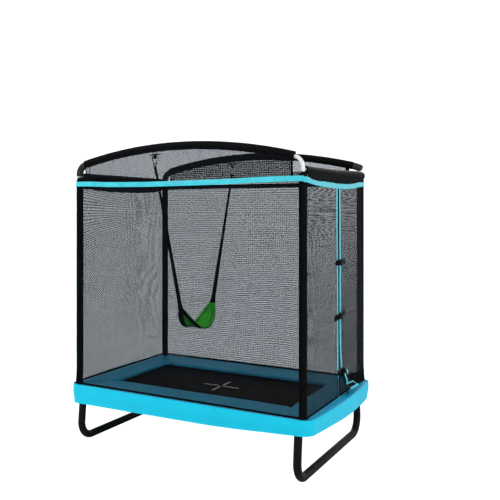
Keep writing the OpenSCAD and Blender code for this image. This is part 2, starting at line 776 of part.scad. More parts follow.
module gate_slot() {
    translate(gate_pivot) circle(r=gate_knuckle + hole_gap);
    polygon([[0, -34], gate_pivot, gate_pivot + [4.5, 0], [28, -4.5], [10, -4.5], [0, -20]]);
}

module gate_outline() {
    dir = (gate_tip - gate_pivot)/norm(gate_tip - gate_pivot);
    side = [dir[1], -dir[0]];
    translate(gate_pivot) circle(r=gate_knuckle);
    polygon([gate_pivot + side*2.6, gate_tip + side*2.6, gate_tip - side*2.6, gate_pivot - side*2.6]);
}

module hook(sy) {
    loop_w = strap_top_w + 10;
    translate([pin_x, sy*post_y, pin_z]) {
        rotate([90, 0, 0]) difference() {
            linear_extrude(hook_thk, center=true) hook_outline();
            linear_extrude(hook_thk + 2*eps, center=true) difference() {
                gate_slot();
                translate(gate_pivot) circle(r=gate_knuckle + 1.6);
            }
            linear_extrude(hook_thk/2 + 2*fit, center=true) union() {
                gate_slot();
                translate(gate_pivot) circle(r=gate_knuckle + hole_gap);
            }
        }
        // rivet of the gate
        translate([gate_pivot[0], hook_thk/2 - 0.5, gate_pivot[1]]) rotate([90, 0, 0])
            cylinder(h=hook_thk - 1, r=1.2);
        // swivel and the bar that carries the strap
        translate([0, 0, -bar_drop + 12]) cylinder(h=bar_drop - 12 - hook_foot, r=4.5);
        translate([-loop_w/2, -4, -bar_drop + 8]) cube([loop_w, 8, 5]);
        for (s=[-1, 1]) translate([s*(loop_w/2 - 2) - 2, -4, -bar_drop - 4]) cube([4, 8, 13]);
        translate([-loop_w/2 + 1, 0, -bar_drop]) rotate([0, 90, 0]) cylinder(h=loop_w - 2, r=bar_r);
    }
}

module swing_hooks() {
    color("#b9bdc2") for (sy=[-1, 1]) hook(sy);
}

module hook_gate(sy) {
    color("#c9ccd0") translate([pin_x, sy*post_y, pin_z]) rotate([90, 0, 0]) difference() {
        linear_extrude(hook_thk/2, center=true) gate_outline();
        translate([gate_pivot[0], gate_pivot[1], 0]) cylinder(h=hook_thk, r=1.2 + 0.1, center=true);
    }
}

seat_steps = 26;
seat_thk = 3;
seat_power = 2.3;
seat_tip_w = 56;

// height of the seat's upper face at y, and its half width
function seat_z(y) = seat_low_z + (seat_end_z - seat_low_z)*pow(abs(y)/(seat_span/2), seat_power);
function seat_half(y) = let(t = min(1, abs(y)/(seat_span/2)))
    seat_tip_w/2 + (seat_w/2 - seat_tip_w/2)*sqrt(max(0, 1 - t*t*t));
function seat_ys() = [for (i=[0:seat_steps]) (2*i/seat_steps - 1)*seat_span/2];
function seat_slope(y) = (seat_z(y + 0.5) - seat_z(y - 0.5));
function off_seat(y, d) = let(s = seat_slope(y), n = norm([s, 1])) [y - s*d/n, seat_z(y) + d/n];

// the sling's curve, from d0 to d1 above its upper face, across its whole width
module sling(d0, d1) {
    ys = seat_ys();
    rotate([90, 0, 90]) linear_extrude(2*seat_w, center=true)
        polygon(concat([for (y=ys) off_seat(y, d1)], [for (i=[seat_steps:-1:0]) off_seat(ys[i], d0)]));
}

module seat_plan(inset) {
    ys = seat_ys();
    polygon(concat([for (y=ys) [seat_half(y) - inset, y*1.02]],
        [for (i=[seat_steps:-1:0]) [-seat_half(ys[i]) + inset, ys[i]*1.02]]));
}

module swing_seat() {
    color("#2e9e3a") translate([pin_x, 0, 0]) intersection() {
        sling(-seat_thk, 0);
        translate([0, 0, seat_low_z/2]) linear_extrude(seat_end_z) seat_plan(0);
    }
}

// webbing under both edges of the seat, drawn together into one strap at each end
module swing_webbing() {
    edge_w = 22;
    under = seat_thk + seat_gap + strap_thk/2;
    low = off_seat(seat_span/2, -under);
    rise = [post_y - low[0], pin_z - bar_drop - low[1]];
    run = norm(rise);
    color("#101112") translate([pin_x, 0, 0]) {
        intersection() {
            sling(-under - strap_thk/2, -under + strap_thk/2);
            translate([0, 0, seat_low_z/2]) linear_extrude(seat_end_z) difference() {
                seat_plan(0);
                seat_plan(edge_w);
            }
        }
        for (m=[0, 1]) mirror([0, m, 0]) translate([0, low[0], low[1]])
            rotate([-atan2(rise[0], rise[1]), 0, 0]) {
                rotate([90, 0, 0]) linear_extrude(strap_thk, center=true)
                    polygon([[-strap_w/2, -strap_thk], [strap_w/2, -strap_thk],
                        [strap_top_w/2, run - bar_r - 1], [-strap_top_w/2, run - bar_r - 1]]);
                translate([-strap_top_w/2, 0, run]) rotate([0, 90, 0])
                    tube(strap_top_w, bar_r + seat_gap + strap_thk, bar_r + seat_gap);
            }
    }
}

leg(-1);  // leg_left
leg(1);  // leg_right
corner_joint(-1, -1);  // corner_joint_fl
corner_joint(1, -1);  // corner_joint_fr
corner_joint(-1, 1);  // corner_joint_bl
corner_joint(1, 1);  // corner_joint_br
rail_side(-1);  // rail_front
rail_side(1);  // rail_back
rail_end(-1);  // rail_left
rail_end(1);  // rail_right
frame_bolts();
springs();
jump_mat();
mat_mark();
mat_rings();
safety_pad();
pad_skirt();
post(-1, -1);  // post_fl
post(1, -1);  // post_fr
post(-1, 1);  // post_bl
post(1, 1);  // post_br
post_sleeve(-1, -1);  // post_sleeve_fl
post_sleeve(1, -1);  // post_sleeve_fr
post_sleeve(-1, 1);  // post_sleeve_bl
post_sleeve(1, 1);  // post_sleeve_br
elbow(-1, -1);  // elbow_fl
elbow(1, -1);  // elbow_fr
elbow(-1, 1);  // elbow_bl
elbow(1, 1);  // elbow_br
elbow_covers();
elbow_screws();
arch(-1);  // arch_front
arch(1);  // arch_back
arch_sleeve(-1);  // arch_sleeve_front
arch_sleeve(1);  // arch_sleeve_back
top_rail(-1);  // top_rail_left
top_rail(1);  // top_rail_right
top_sleeve(-1);  // top_sleeve_left
top_sleeve(1);  // top_sleeve_right
net_side(-1);  // net_front
net_side(1);  // net_back
net_end(-1, -post_y, post_y, 6);  // net_left
net_end(1, -post_y, -net_slit, 3);  // net_door_front
net_end(1, net_slit, post_y, 3);  // net_door_back
net_band();
net_ties();
door_zip();
door_edging();
door_flaps();
buckle_sockets();
zip_slider();
buckle_plug(buckle_high_z);  // buckle_plug_high
buckle_plug(buckle_low_z);  // buckle_plug_low
swing_brackets();
swing_hooks();
hook_gate(-1);  // hook_gate_front
hook_gate(1);  // hook_gate_back
swing_webbing();
swing_seat();
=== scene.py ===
"""Dresses a rectangular children's trampoline: pad, skirt, netting, foam sleeves, door and sling swing.

Lengths are in metres, in the frame's own axes: +X along the length towards the door end, +Y towards
the back, +Z up, with the origin in the middle of the footprint on the ground.
"""

import json
import math

import bmesh
import bpy
from bpy.props import FloatProperty, FloatVectorProperty, IntProperty, PointerProperty
from mathutils import Matrix, Vector, noise


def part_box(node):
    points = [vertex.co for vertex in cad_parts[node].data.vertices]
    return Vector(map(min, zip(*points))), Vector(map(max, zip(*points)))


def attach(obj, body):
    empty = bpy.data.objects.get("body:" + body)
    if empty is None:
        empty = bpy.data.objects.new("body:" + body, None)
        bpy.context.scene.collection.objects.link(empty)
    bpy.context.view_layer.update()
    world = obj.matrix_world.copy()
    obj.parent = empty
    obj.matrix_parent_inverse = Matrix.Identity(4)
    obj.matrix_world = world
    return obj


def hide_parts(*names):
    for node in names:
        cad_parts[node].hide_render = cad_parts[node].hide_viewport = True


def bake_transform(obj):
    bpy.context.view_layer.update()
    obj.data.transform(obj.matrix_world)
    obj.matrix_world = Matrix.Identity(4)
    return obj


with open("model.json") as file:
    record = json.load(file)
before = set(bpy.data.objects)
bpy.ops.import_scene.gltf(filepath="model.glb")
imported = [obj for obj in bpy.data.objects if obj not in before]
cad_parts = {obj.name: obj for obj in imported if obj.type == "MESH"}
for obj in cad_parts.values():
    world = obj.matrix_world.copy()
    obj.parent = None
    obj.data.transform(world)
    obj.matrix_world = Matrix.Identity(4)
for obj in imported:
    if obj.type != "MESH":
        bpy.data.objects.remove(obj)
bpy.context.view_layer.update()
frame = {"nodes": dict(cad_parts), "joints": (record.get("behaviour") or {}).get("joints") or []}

bl_info = {
    "name": "Enclosed Trampoline",
    "version": (1, 0, 0),
    "blender": (4, 5, 0),
    "location": "View3D > Sidebar > Trampoline",
    "description": "Soft goods, hardware and finishes of a rectangular trampoline with an enclosure "
                   "and a swing",
    "category": "Add Mesh",
}

TAU = 2 * math.pi
WELD = 1e-6   # points closer than this are one


# ---------- places taken from the frame ----------


def middle(node):
    """The middle of a node's box."""
    low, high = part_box(node)
    return (low + high) / 2


def span(node):
    """The lengths of a node's box."""
    low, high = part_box(node)
    return high - low


POST_X, POST_Y = middle("post_br").x, middle("post_br").y
SLEEVE_R = span("post_sleeve_br").x / 2
SLEEVE_FOOT, SLEEVE_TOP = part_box("post_sleeve_br")[0].z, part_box("post_sleeve_br")[1].z
POST_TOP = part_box("post_br")[1].z

ARCH_R = 3.36
ARCH_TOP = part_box("arch_sleeve_front")[1].z - SLEEVE_R
ARCH_MIDDLE = ARCH_TOP - ARCH_R
ELBOW_R = 0.07
ARCH_HALF = math.asin((POST_X - ELBOW_R) / (ARCH_R - ELBOW_R))
ARCH_END_X = ARCH_R * math.sin(ARCH_HALF)
ARCH_END_Z = ARCH_MIDDLE + ARCH_R * math.cos(ARCH_HALF)
ELBOW_MIDDLE_Z = ARCH_END_Z - ELBOW_R * math.cos(ARCH_HALF)
TOP_RAIL_Z = middle("top_rail_right").z

PAD_LOW, PAD_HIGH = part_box("safety_pad")
SKIRT_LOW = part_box("pad_skirt")[0]
MAT_LOW, MAT_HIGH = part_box("jump_mat")
OPENING_X, OPENING_Y = 0.69, 0.34
SKIRT_SLANT = 0.016
PAD_CORNER_R = 0.08
PAD_BULGE_END, PAD_BULGE_SIDE = 0.02, 0.005

NET_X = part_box("net_door_front")[0].x
NET_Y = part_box("net_back")[0].y
NET_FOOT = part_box("net_back")[0].z
NET_END_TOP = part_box("net_left")[1].z
NET_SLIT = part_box("net_door_back")[0].y
NET_THK = span("net_left").x

BAND_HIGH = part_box("net_band")[1]
BAND_THK = 0.002
BAND_W = 0.034
BAND_TOP = BAND_HIGH.z

ZIP_LOW, ZIP_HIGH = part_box("door_zip")
EDGING_LOW, EDGING_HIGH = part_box("door_edging")

SWING_X = middle("swing_seat").x
SEAT_LOW, SEAT_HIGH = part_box("swing_seat")


def joint(name):
    """A joint of the frame's record."""
    return next(j for j in frame["joints"] if j["name"] == name)


PIN_X, _, PIN_Z = joint("swing_hinge")["pos_m"]
STRAP_BAR_Z = PIN_Z - 0.062
STRAP_BAR_R = 0.003


# ---------- sizes and colours a user would change ----------


def colour_setting(name, description, default):
    """A colour the user can change."""
    return FloatVectorProperty(name=name, description=description, subtype="COLOR", size=3, default=default)


def length_setting(name, description, default, low, high):
    """A length the user can change."""
    return FloatProperty(name=name, description=description, default=default, min=low, max=high,
                         unit="LENGTH")


class TrampolineSteel(bpy.types.PropertyGroup):
    """Finishes of the tubes and the small metal parts."""

    black: colour_setting("Powder coat", "Colour of the coated tubes", (0.0052, 0.0052, 0.0060))
    pale: colour_setting("Bare elbow", "Colour of the elbows without a cover", (0.83, 0.84, 0.86))
    zinc: colour_setting("Zinc", "Colour of springs, rings, hooks and bolts", (0.56, 0.58, 0.61))
    coil_turns: IntProperty(name="Coil turns", description="Turns of each bed spring", default=24,
                            min=6, max=40)


class TrampolineBed(bpy.types.PropertyGroup):
    """Mat, pad and skirt."""

    mat: colour_setting("Mat", "Colour of the jumping mat", (0.0036, 0.0036, 0.0042))
    pad: colour_setting("Pad", "Colour of the pad's cover", (0.005, 0.42, 0.72))
    skirt: colour_setting("Skirt", "Colour of the skirt", (0.003, 0.64, 0.90))
    crown: length_setting("Pad crown", "How much lower the pad's edges lie than its crown", 0.005, 0, 0.01)
    flutter: length_setting("Skirt waves", "Depth of the waves along the skirt's lower edge", 0.0028, 0,
                            0.006)


class TrampolineNet(bpy.types.PropertyGroup):
    """Netting, band and door."""

    pitch: length_setting("Mesh pitch", "Distance between two threads of the netting", 0.0036, 0.003, 0.012)
    thread_w: length_setting("Thread width", "Width of a thread of the netting", 0.00092, 0.0005, 0.004)
    thread: colour_setting("Thread", "Colour of the netting", (0.0034, 0.0044, 0.0064))
    band: colour_setting("Band", "Colour of the band and the door's edging", (0.030, 0.74, 0.97))


class TrampolineSwing(bpy.types.PropertyGroup):
    """Straps and sling seat."""

    seat: colour_setting("Seat", "Colour of the sling", (0.075, 0.80, 0.055))
    border: colour_setting("Seat border", "Colour of the sling's sewn border", (0.040, 0.66, 0.036))
    webbing: colour_setting("Webbing", "Colour of the straps", (0.0040, 0.0042, 0.0048))


# ---------- shader groups shared by the finishes ----------


def new_group(name, inputs, outputs):
    """An empty shader group with the sockets given as (kind, name, default)."""
    tree = bpy.data.node_groups.new(name, "ShaderNodeTree")
    for kind, label, default in inputs:
        socket = tree.interface.new_socket(name=label, in_out="INPUT", socket_type=kind)
        if default is not None:
            socket.default_value = default
    for kind, label in outputs:
        tree.interface.new_socket(name=label, in_out="OUTPUT", socket_type=kind)
    return tree


def feed(tree, node, values):
    """Sets or links a node's inputs; values are (socket, constant or output socket) pairs."""
    for socket, value in values:
        if isinstance(value, bpy.types.NodeSocket):
            tree.links.new(value, node.inputs[socket])
        else:
            node.inputs[socket].default_value = value


def add(tree, kind, values=(), **settings):
    """Adds a node with its settings and inputs."""
    node = tree.nodes.new(kind)
    for key, value in settings.items():
        setattr(node, key, value)
    feed(tree, node, values)
    return node


def maths(tree, operation, a, b=0.0, c=0.0):
    """The output of a Math node."""
    return add(tree, "ShaderNodeMath", [(0, a), (1, b), (2, c)], operation=operation).outputs[0]


def ends(tree):
    """The input and output nodes of a group."""
    return tree.nodes.new("NodeGroupInput").outputs, tree.nodes.new("NodeGroupOutput").inputs


def weave_group():
    """Over-and-under threads of a plain weave, from a vector in metres."""
    tree = new_group(
        "Weave",
        [("NodeSocketVector", "Vector", None), ("NodeSocketFloat", "Warp", 600.0),
         ("NodeSocketFloat", "Weft", 600.0)],
        [("NodeSocketFloat", "Height"), ("NodeSocketFloat", "Grooves")],
    )
    given, out = ends(tree)
    parts = add(tree, "ShaderNodeSeparateXYZ", [(0, given["Vector"])]).outputs
    across = maths(tree, "SINE", maths(tree, "MULTIPLY", parts["X"], given["Warp"]))
    along = maths(tree, "SINE", maths(tree, "MULTIPLY", parts["Y"], given["Weft"]))
    over = maths(tree, "MULTIPLY", across, along)
    height = maths(tree, "MULTIPLY_ADD", over, 0.5, 0.5)
    tree.links.new(height, out["Height"])
    # Grooves is low in the gaps between the threads; the cloth finishes darken their colour there as painted
    # shade.
    groove = maths(tree, "MINIMUM", maths(tree, "ABSOLUTE", across), maths(tree, "ABSOLUTE", along))
    tree.links.new(maths(tree, "SMOOTH_MIN", maths(tree, "MULTIPLY", groove, 3.0), 1.0, 0.2), out["Grooves"])
    return tree


def ribs_group():
    """Ribs across a webbing strap: X is across the strap and Y along it, in metres."""
    tree = new_group(
        "Webbing ribs",
        [("NodeSocketVector", "Vector", None), ("NodeSocketFloat", "Rib", 0.0018),
         ("NodeSocketFloat", "Cord", 0.0016)],
        [("NodeSocketFloat", "Height"), ("NodeSocketFloat", "Sparkle")],
    )
    given, out = ends(tree)
    parts = add(tree, "ShaderNodeSeparateXYZ", [(0, given["Vector"])]).outputs
    rib = maths(tree, "SINE", maths(tree, "DIVIDE", maths(tree, "MULTIPLY", parts["Y"], TAU), given["Rib"]))
    cord = maths(tree, "SINE", maths(tree, "DIVIDE", maths(tree, "MULTIPLY", parts["X"], TAU), given["Cord"]))
    height = maths(tree, "MULTIPLY_ADD", maths(tree, "MULTIPLY_ADD", cord, 0.45, rib), 0.33, 0.5)
    tree.links.new(height, out["Height"])
    glints = add(tree, "ShaderNodeTexNoise", [("Vector", given["Vector"]), ("Scale", 90.0), ("Detail", 2.0)])
    tree.links.new(maths(tree, "MULTIPLY", height, glints.outputs[0]), out["Sparkle"])
    return tree


def mottle_group():
    """Soft uneven patches from low to high, for colour and roughness."""
    tree = new_group(
        "Mottle",
        [("NodeSocketVector", "Vector", None), ("NodeSocketFloat", "Scale", 8.0),
         ("NodeSocketFloat", "Low", 0.0), ("NodeSocketFloat", "High", 1.0)],
        [("NodeSocketFloat", "Value")],
    )
    given, out = ends(tree)
    cloud = add(tree, "ShaderNodeTexNoise",
                [("Vector", given["Vector"]), ("Scale", given["Scale"]), ("Detail", 4.0), ("Roughness", 0.6)])
    spread = add(tree, "ShaderNodeMapRange",
                 [("Value", cloud.outputs[0]), ("From Min", 0.3), ("From Max", 0.7),
                  ("To Min", given["Low"]), ("To Max", given["High"])])
    tree.links.new(spread.outputs[0], out["Value"])
    return tree


def creases_group():
    """Long soft creases, as a bump height, stretched by the vector's own scale."""
    tree = new_group(
        "Creases",
        [("NodeSocketVector", "Vector", None), ("NodeSocketFloat", "Scale", 12.0)],
        [("NodeSocketFloat", "Height")],
    )
    given, out = ends(tree)
    drift = add(tree, "ShaderNodeTexNoise", [("Vector", given["Vector"]), ("Scale", given["Scale"]),
                                             ("Detail", 3.0), ("Distortion", 0.6)])
    fold = maths(tree, "ABSOLUTE", maths(tree, "SUBTRACT", drift.outputs[0], 0.5))
    tree.links.new(maths(tree, "SUBTRACT", 1.0, maths(tree, "MULTIPLY", fold, 4.0)), out["Height"])
    return tree


GROUPS = {}


def group(name):
    """One of the shared groups, built when it is first asked for."""
    if name not in GROUPS:
        makers = {"Weave": weave_group, "Webbing ribs": ribs_group, "Mottle": mottle_group,
                  "Creases": creases_group}
        GROUPS[name] = makers[name]()
    return GROUPS[name]


def use(tree, name, values):
    """The outputs of a shared group placed in a material."""
    node = tree.nodes.new("ShaderNodeGroup")
    node.node_tree = group(name)
    feed(tree, node, values)
    return node.outputs


def mottle(tree, at, scale, low=0.0, high=1.0):
    """Uneven patches from low to high."""
    return use(tree, "Mottle", [("Vector", at), ("Scale", scale), ("Low", low), ("High", high)])["Value"]


# ---------- finishes ----------


def bare_material(name, **sockets):
    """A material with a Principled shader; returns it with its tree and shader."""
    material = bpy.data.materials.new(name)
    material.use_nodes = True
    tree = material.node_tree
    shader = tree.nodes["Principled BSDF"]
    for key, value in sockets.items():
        shader.inputs[key.replace("_", " ").title()].default_value = value
    return material, tree, shader


def object_point(tree):
    """A place on the object, in metres."""
    return tree.nodes.new("ShaderNodeTexCoord").outputs["Object"]


def cloth_point(tree):
    """A place on the cloth's own map, in metres."""
    return tree.nodes.new("ShaderNodeUVMap").outputs["UV"]


def mix(tree, factor, low, high):
    """A colour between two others."""
    return add(tree, "ShaderNodeMix", [(0, factor), (6, low), (7, high)], data_type="RGBA").outputs[2]


def shade(colour, factor):
    """A colour with alpha, its light scaled."""
    return (*[min(1.0, c * factor) for c in colour], 1.0)


def bump(tree, shader, layers):
    """Stacks bump layers of (height, strength, distance) on a shader's normal."""
    normal = None
    for height, strength, distance in layers:
        node = add(tree, "ShaderNodeBump",
                   [("Height", height), ("Strength", strength), ("Distance", distance)])
        if normal is not None:
            tree.links.new(normal, node.inputs["Normal"])
        normal = node.outputs[0]
    tree.links.new(normal, shader.inputs["Normal"])


def plain(name, colour, patches, dull, specular=None, metallic=0.0, grain=None):
    """A finish without a weave. patches is the scale, darkest and lightest factor of its tones, dull the
    scale, lowest and highest roughness, and grain the scale, detail, strength and depth of its bumps."""
    material, tree, shader = bare_material(name, metallic=metallic)
    if specular is not None:
        shader.inputs["Specular IOR Level"].default_value = specular
    at = object_point(tree)
    scale, dark, light = patches
    tone = mix(tree, mottle(tree, at, scale), shade(colour, dark), shade(colour, light))
    tree.links.new(tone, shader.inputs["Base Color"])
    tree.links.new(mottle(tree, at, *dull), shader.inputs["Roughness"])
    if grain:
        scale, detail, strength, depth = grain
        marks = add(tree, "ShaderNodeTexNoise", [("Vector", at), ("Scale", scale), ("Detail", detail)])
        bump(tree, shader, [(marks.outputs[0], strength, depth)])
    return material


def coated_steel(name, colour):
    """Powder-coated tube: orange peel, and dust that dulls it in patches."""
    return plain(name, colour, (14.0, 0.8, 1.35), (5.0, 0.36, 0.52), 0.07, grain=(900.0, 1.0, 0.25, 0.0002))


def plated_steel(name, colour, roughness=0.28):
    """Zinc or chrome plate with fine drawing marks and cloudy patches."""
    return plain(name, colour, (60.0, 0.75, 1.2), (25.0, roughness - 0.08, roughness + 0.12), metallic=1.0,
                 grain=(1500.0, 2.0, 0.15, 0.0001))


def white_coat(name, colour):
    """Pale coated tube with a soft gloss and faint grey handling marks."""
    return plain(name, colour, (40.0, 0.9, 1.0), (20.0, 0.2, 0.34), metallic=0.15)


def moulded_plastic(name, colour):
    """Injection-moulded plastic with a fine spark-eroded grain."""
    return plain(name, colour, (90.0, 0.8, 1.4), (200.0, 0.37, 0.50), 0.015, grain=(2500.0, 1.0, 0.3, 0.0001))


def thread_material(name, colour):
    """Knitted polyester thread of the netting, and sewing thread."""
    return plain(name, colour, (9.0, 0.7, 1.5), (400.0, 0.55, 0.75), 0.05)


def woven(name, colour, threads, roughness=0.6, relief=0.4, contrast=0.35, sheen=0.0, patch=0.12, creases=0.0,
          shine=0.5):
    """Woven or coated cloth. threads is threads per metre; the cloth's own map is in metres."""
    material, tree, shader = bare_material(name)
    feed(tree, shader, [("Specular IOR Level", shine), ("Sheen Weight", sheen), ("Sheen Roughness", 0.45)])
    at, cloth = object_point(tree), cloth_point(tree)
    turns = threads * math.pi
    weave = use(tree, "Weave", [("Vector", cloth), ("Warp", turns), ("Weft", turns)])
    patches = mottle(tree, at, 5.0)
    # The colour is darker in the weave's grooves: painted shade between the threads.
    tone = maths(tree, "MULTIPLY_ADD", patches, patch, maths(tree, "MULTIPLY", weave["Grooves"], contrast))
    tree.links.new(mix(tree, maths(tree, "MULTIPLY", tone, 1 / (patch + contrast)),
                       shade(colour, 1 - patch - contrast), shade(colour, 1 + 0.5 * patch)),
                   shader.inputs["Base Color"])
    tree.links.new(mottle(tree, at, 18.0, roughness - 0.06, roughness + 0.06), shader.inputs["Roughness"])
    layers = [(weave["Height"], relief, 0.0003)]
    if creases:
        folds = use(tree, "Creases", [("Vector", at), ("Scale", 7.0)])["Height"]
        layers.append((folds, creases, 0.002))
    bump(tree, shader, layers)
    return material


def webbing(name, colour, rib=0.0018, cord=0.0016, roughness=0.45, relief=0.6, contrast=0.35, sheen=0.1,
            shine=0.5):
    """Ribbed strap with a slight satin shine on the ribs' backs."""
    material, tree, shader = bare_material(name)
    feed(tree, shader, [("Specular IOR Level", shine), ("Sheen Weight", sheen), ("Sheen Roughness", 0.35)])
    at, cloth = object_point(tree), cloth_point(tree)
    ribs = use(tree, "Webbing ribs", [("Vector", cloth), ("Rib", rib), ("Cord", cord)])
    patches = mottle(tree, at, 14.0, 0.0, 0.4)
    # The colour follows the ribs' height: painted shade in the troughs and painted light on the ribs' backs.
    tone = maths(tree, "ADD", maths(tree, "MULTIPLY", ribs["Height"], 0.6), patches)
    tree.links.new(mix(tree, tone, shade(colour, 1 - contrast), shade(colour, 1 + 0.4 * contrast)),
                   shader.inputs["Base Color"])
    dull = maths(tree, "SUBTRACT", roughness + 0.12, maths(tree, "MULTIPLY", ribs["Sparkle"], 0.35))
    tree.links.new(dull, shader.inputs["Roughness"])
    bump(tree, shader, [(ribs["Height"], relief, 0.0005)])
    return material


FINISHES = {}


def finish(name):
    """A finish by name, made from the scene's settings when it is first asked for."""
    if name in FINISHES:
        return FINISHES[name]
    scene = bpy.context.scene
    steel, bed, net, swing = scene.tramp_steel, scene.tramp_bed, scene.tramp_net, scene.tramp_swing
    makers = {
        "black_tube": (coated_steel, "Black powder coat", steel.black),
        "pale_tube": (white_coat, "Pale coated elbow", steel.pale),
        "zinc": (plated_steel, "Zinc plate", steel.zinc),
        "chrome": (plated_steel, "Bright nickel", (0.72, 0.73, 0.75), 0.2),
        "mat": (woven, "Woven mat", bed.mat, 420, 0.5, 0.5, 0.4, 0.0, 0.12, 0.0, 0.02),
        "tape": (woven, "White marking tape", (0.78, 0.79, 0.80), 900, 0.5, 0.3, 0.1),
        "pad": (woven, "Coated pad cover", bed.pad, 700, 0.42, 0.25, 0.08, 0.0, 0.12, 0.35, 0.3),
        "skirt": (woven, "Skirt cloth", bed.skirt, 900, 0.5, 0.25, 0.06, 0.0, 0.08, 0.25, 0.2),
        "foam": (woven, "Foam sleeve skin", (0.0040, 0.0042, 0.0046), 900, 0.5, 0.25, 0.15, 0.0, 0.1, 0.4,
                 0.02),
        "cover": (woven, "Elbow cover", (0.028, 0.029, 0.025), 700, 0.6, 0.4, 0.3, 0.0, 0.2, 0.6, 0.15),
        "thread": (thread_material, "Net thread", net.thread),
        "hem": (webbing, "Net hem", (0.004, 0.005, 0.006), 0.003, 0.003, 0.6, 0.5, 0.3, 0.0, 0.015),
        "band": (webbing, "Blue webbing band", net.band, 0.0045, 0.0035, 0.34, 0.9, 0.45, 0.2),
        "edging": (webbing, "Blue door edging", net.band, 0.0025, 0.002, 0.4, 0.6, 0.3, 0.1),
        "strap": (webbing, "Black webbing", swing.webbing, 0.0022, 0.0018, 0.5, 0.8, 0.4, 0.0, 0.015),
        "plastic": (moulded_plastic, "Black buckle plastic", (0.006, 0.006, 0.007)),
        "tape_black": (woven, "Zip tape", (0.004, 0.005, 0.007), 1100, 0.6, 0.5, 0.3, 0.0, 0.12, 0.0, 0.015),
        "seat": (woven, "Green sling cloth", swing.seat, 700, 0.5, 0.5, 0.18, 0.0, 0.15, 0.5, 0.2),
        "border": (webbing, "Green sewn border", swing.border, 0.0025, 0.002, 0.5, 0.6, 0.3, 0.0, 0.2),
        "stitch_green": (thread_material, "Green stitching", (0.008, 0.24, 0.009)),
        # The band's inward faces: a dark copy of the band's blue, painted shade inside the enclosure.
        "lining": (woven, "Band lining", (0.006, 0.030, 0.044), 900, 0.6, 0.3, 0.2, 0.0, 0.12, 0.0, 0.12),
        # Pale stitches on the band, partly seams and partly painted glints of its ribbed satin.
        "pale_stitch_and_glint": (thread_material, "Pale blue stitching", (0.45, 0.90, 0.95)),
        "stitch_black": (thread_material, "Black stitching", (0.03, 0.03, 0.035)),
        "stitch_blue": (thread_material, "Blue stitching", (0.02, 0.40, 0.55)),
    }
    maker, *values = makers[name]
    FINISHES[name] = maker(*values)
    return FINISHES[name]


# ---------- building blocks ----------


def surface(bm, across, along, place, size=(1.0, 1.0)):
    """Adds a grid of faces, each corner put by place(s, t), with s and t from 0 to 1. size is the size of
    its map, in metres."""
    cloth_map = bm.loops.layers.uv.verify()
    made = bmesh.ops.create_grid(bm, x_segments=across, y_segments=along, size=0.5)["verts"]
    spots = {v: (round((v.co.x + 0.5) * across) / across, round((v.co.y + 0.5) * along) / along)
             for v in made}
    for face in {f for v in made for f in v.link_faces}:
        for corner in face.loops:
            s, t = spots[corner.vert]
            corner[cloth_map].uv = (s * size[0], t * size[1])
    for v, (s, t) in spots.items():
        v.co = place(s, t)
    return made


def lengths(points):
    """Distance along a line of points, up to each of them."""
    total, run = 0.0, [0.0]
    for a, b in zip(points, points[1:]):
        total += (b - a).length
        run.append(total)
    return run


def sweep(bm, points, section, side=None, size=None, loop=False):
    """Draws a closed section of (a, b) offsets along points. a lies along side, which may be a function of
    the share of the way, and size(t) gives the section's scale there. With loop the ends join."""
    points = [Vector(p) for p in points]
    count, corners = len(points), len(section)
    steps = count if loop else count - 1
    rings, across = [], None
    for i, point in enumerate(points):
        before = points[i - 1] if i or loop else point
        after = points[(i + 1) % count] if i < count - 1 or loop else point
        ahead = (after - before).normalized()
        t = i / max(1, count - 1)
        if side is not None:
            across = Vector(side(t)) if callable(side) else Vector(side)
        elif across is None:
            across = ahead.orthogonal()
        up = ahead.cross(across).normalized()
        across = up.cross(ahead).normalized()
        scale = size(t) if size else (1.0, 1.0)
        rings.append([point + across * a * scale[0] + up * b * scale[1] for a, b in section])
    girth = sum(math.dist(section[i], section[i - 1]) for i in range(corners))
    way = lengths(points)[-1]
    made = surface(bm, corners, steps,
                   lambda s, t: rings[round(t * steps) % count][round(s * corners) % corners], (girth, way))
    bmesh.ops.remove_doubles(bm, verts=made, dist=WELD)
    if not loop:
        rims = {e for v in made if v.is_valid for e in v.link_edges if e.is_boundary}
        bmesh.ops.holes_fill(bm, edges=list(rims))
    return [v for v in made if v.is_valid]


def ring_section(radius, sides=12):
    """A circle as a section."""
    return [(radius * math.cos(TAU * i / sides), radius * math.sin(TAU * i / sides)) for i in range(sides)]


def strip_section(width, thickness, edge=2, ribs=4):
    """A flat strip with round edges as a section, with ribs faces across each side."""
    half, r = width / 2 - thickness / 2, thickness / 2
    right = [(half + r * math.cos(a), r * math.sin(a))
             for a in [-math.pi / 2 + math.pi * i / (edge * 2) for i in range(edge * 2 + 1)]]
    left = [(-x, -y) for x, y in right]
    top = [(half - 2 * half * i / ribs, r) for i in range(1, ribs)]
    bottom = [(-x, -y) for x, y in top]
    return right + top + left + bottom


def rounded(points, radius, steps=5, loop=False):
    """A line of points whose corners are rounded to about the radius."""
    points, count, out = [Vector(p) for p in points], len(points), []
    for i, point in enumerate(points):
        if not loop and i in (0, count - 1):
            out.append(point)
            continue
        before, after = points[i - 1], points[(i + 1) % count]
        back, on = before - point, after - point
        cut = min(radius, back.length * 0.45, on.length * 0.45)
        start, end = point + back.normalized() * cut, point + on.normalized() * cut
        for k in range(steps + 1):
            u = k / steps
            out.append(start * (1 - u) ** 2 + point * 2 * u * (1 - u) + end * u * u)
    return out


def even(points, gap):
    """The points of a line at an even distance of about gap."""
    points = [Vector(p) for p in points]
    run = lengths(points)
    count = max(2, round(run[-1] / gap) + 1)
    out, j = [], 0
    for i in range(count):
        target = run[-1] * i / (count - 1)
        while j < len(run) - 2 and run[j + 1] < target:
            j += 1
        share = (target - run[j]) / max(1e-9, run[j + 1] - run[j])
        out.append(points[j].lerp(points[j + 1], min(1.0, max(0.0, share))))
    return out


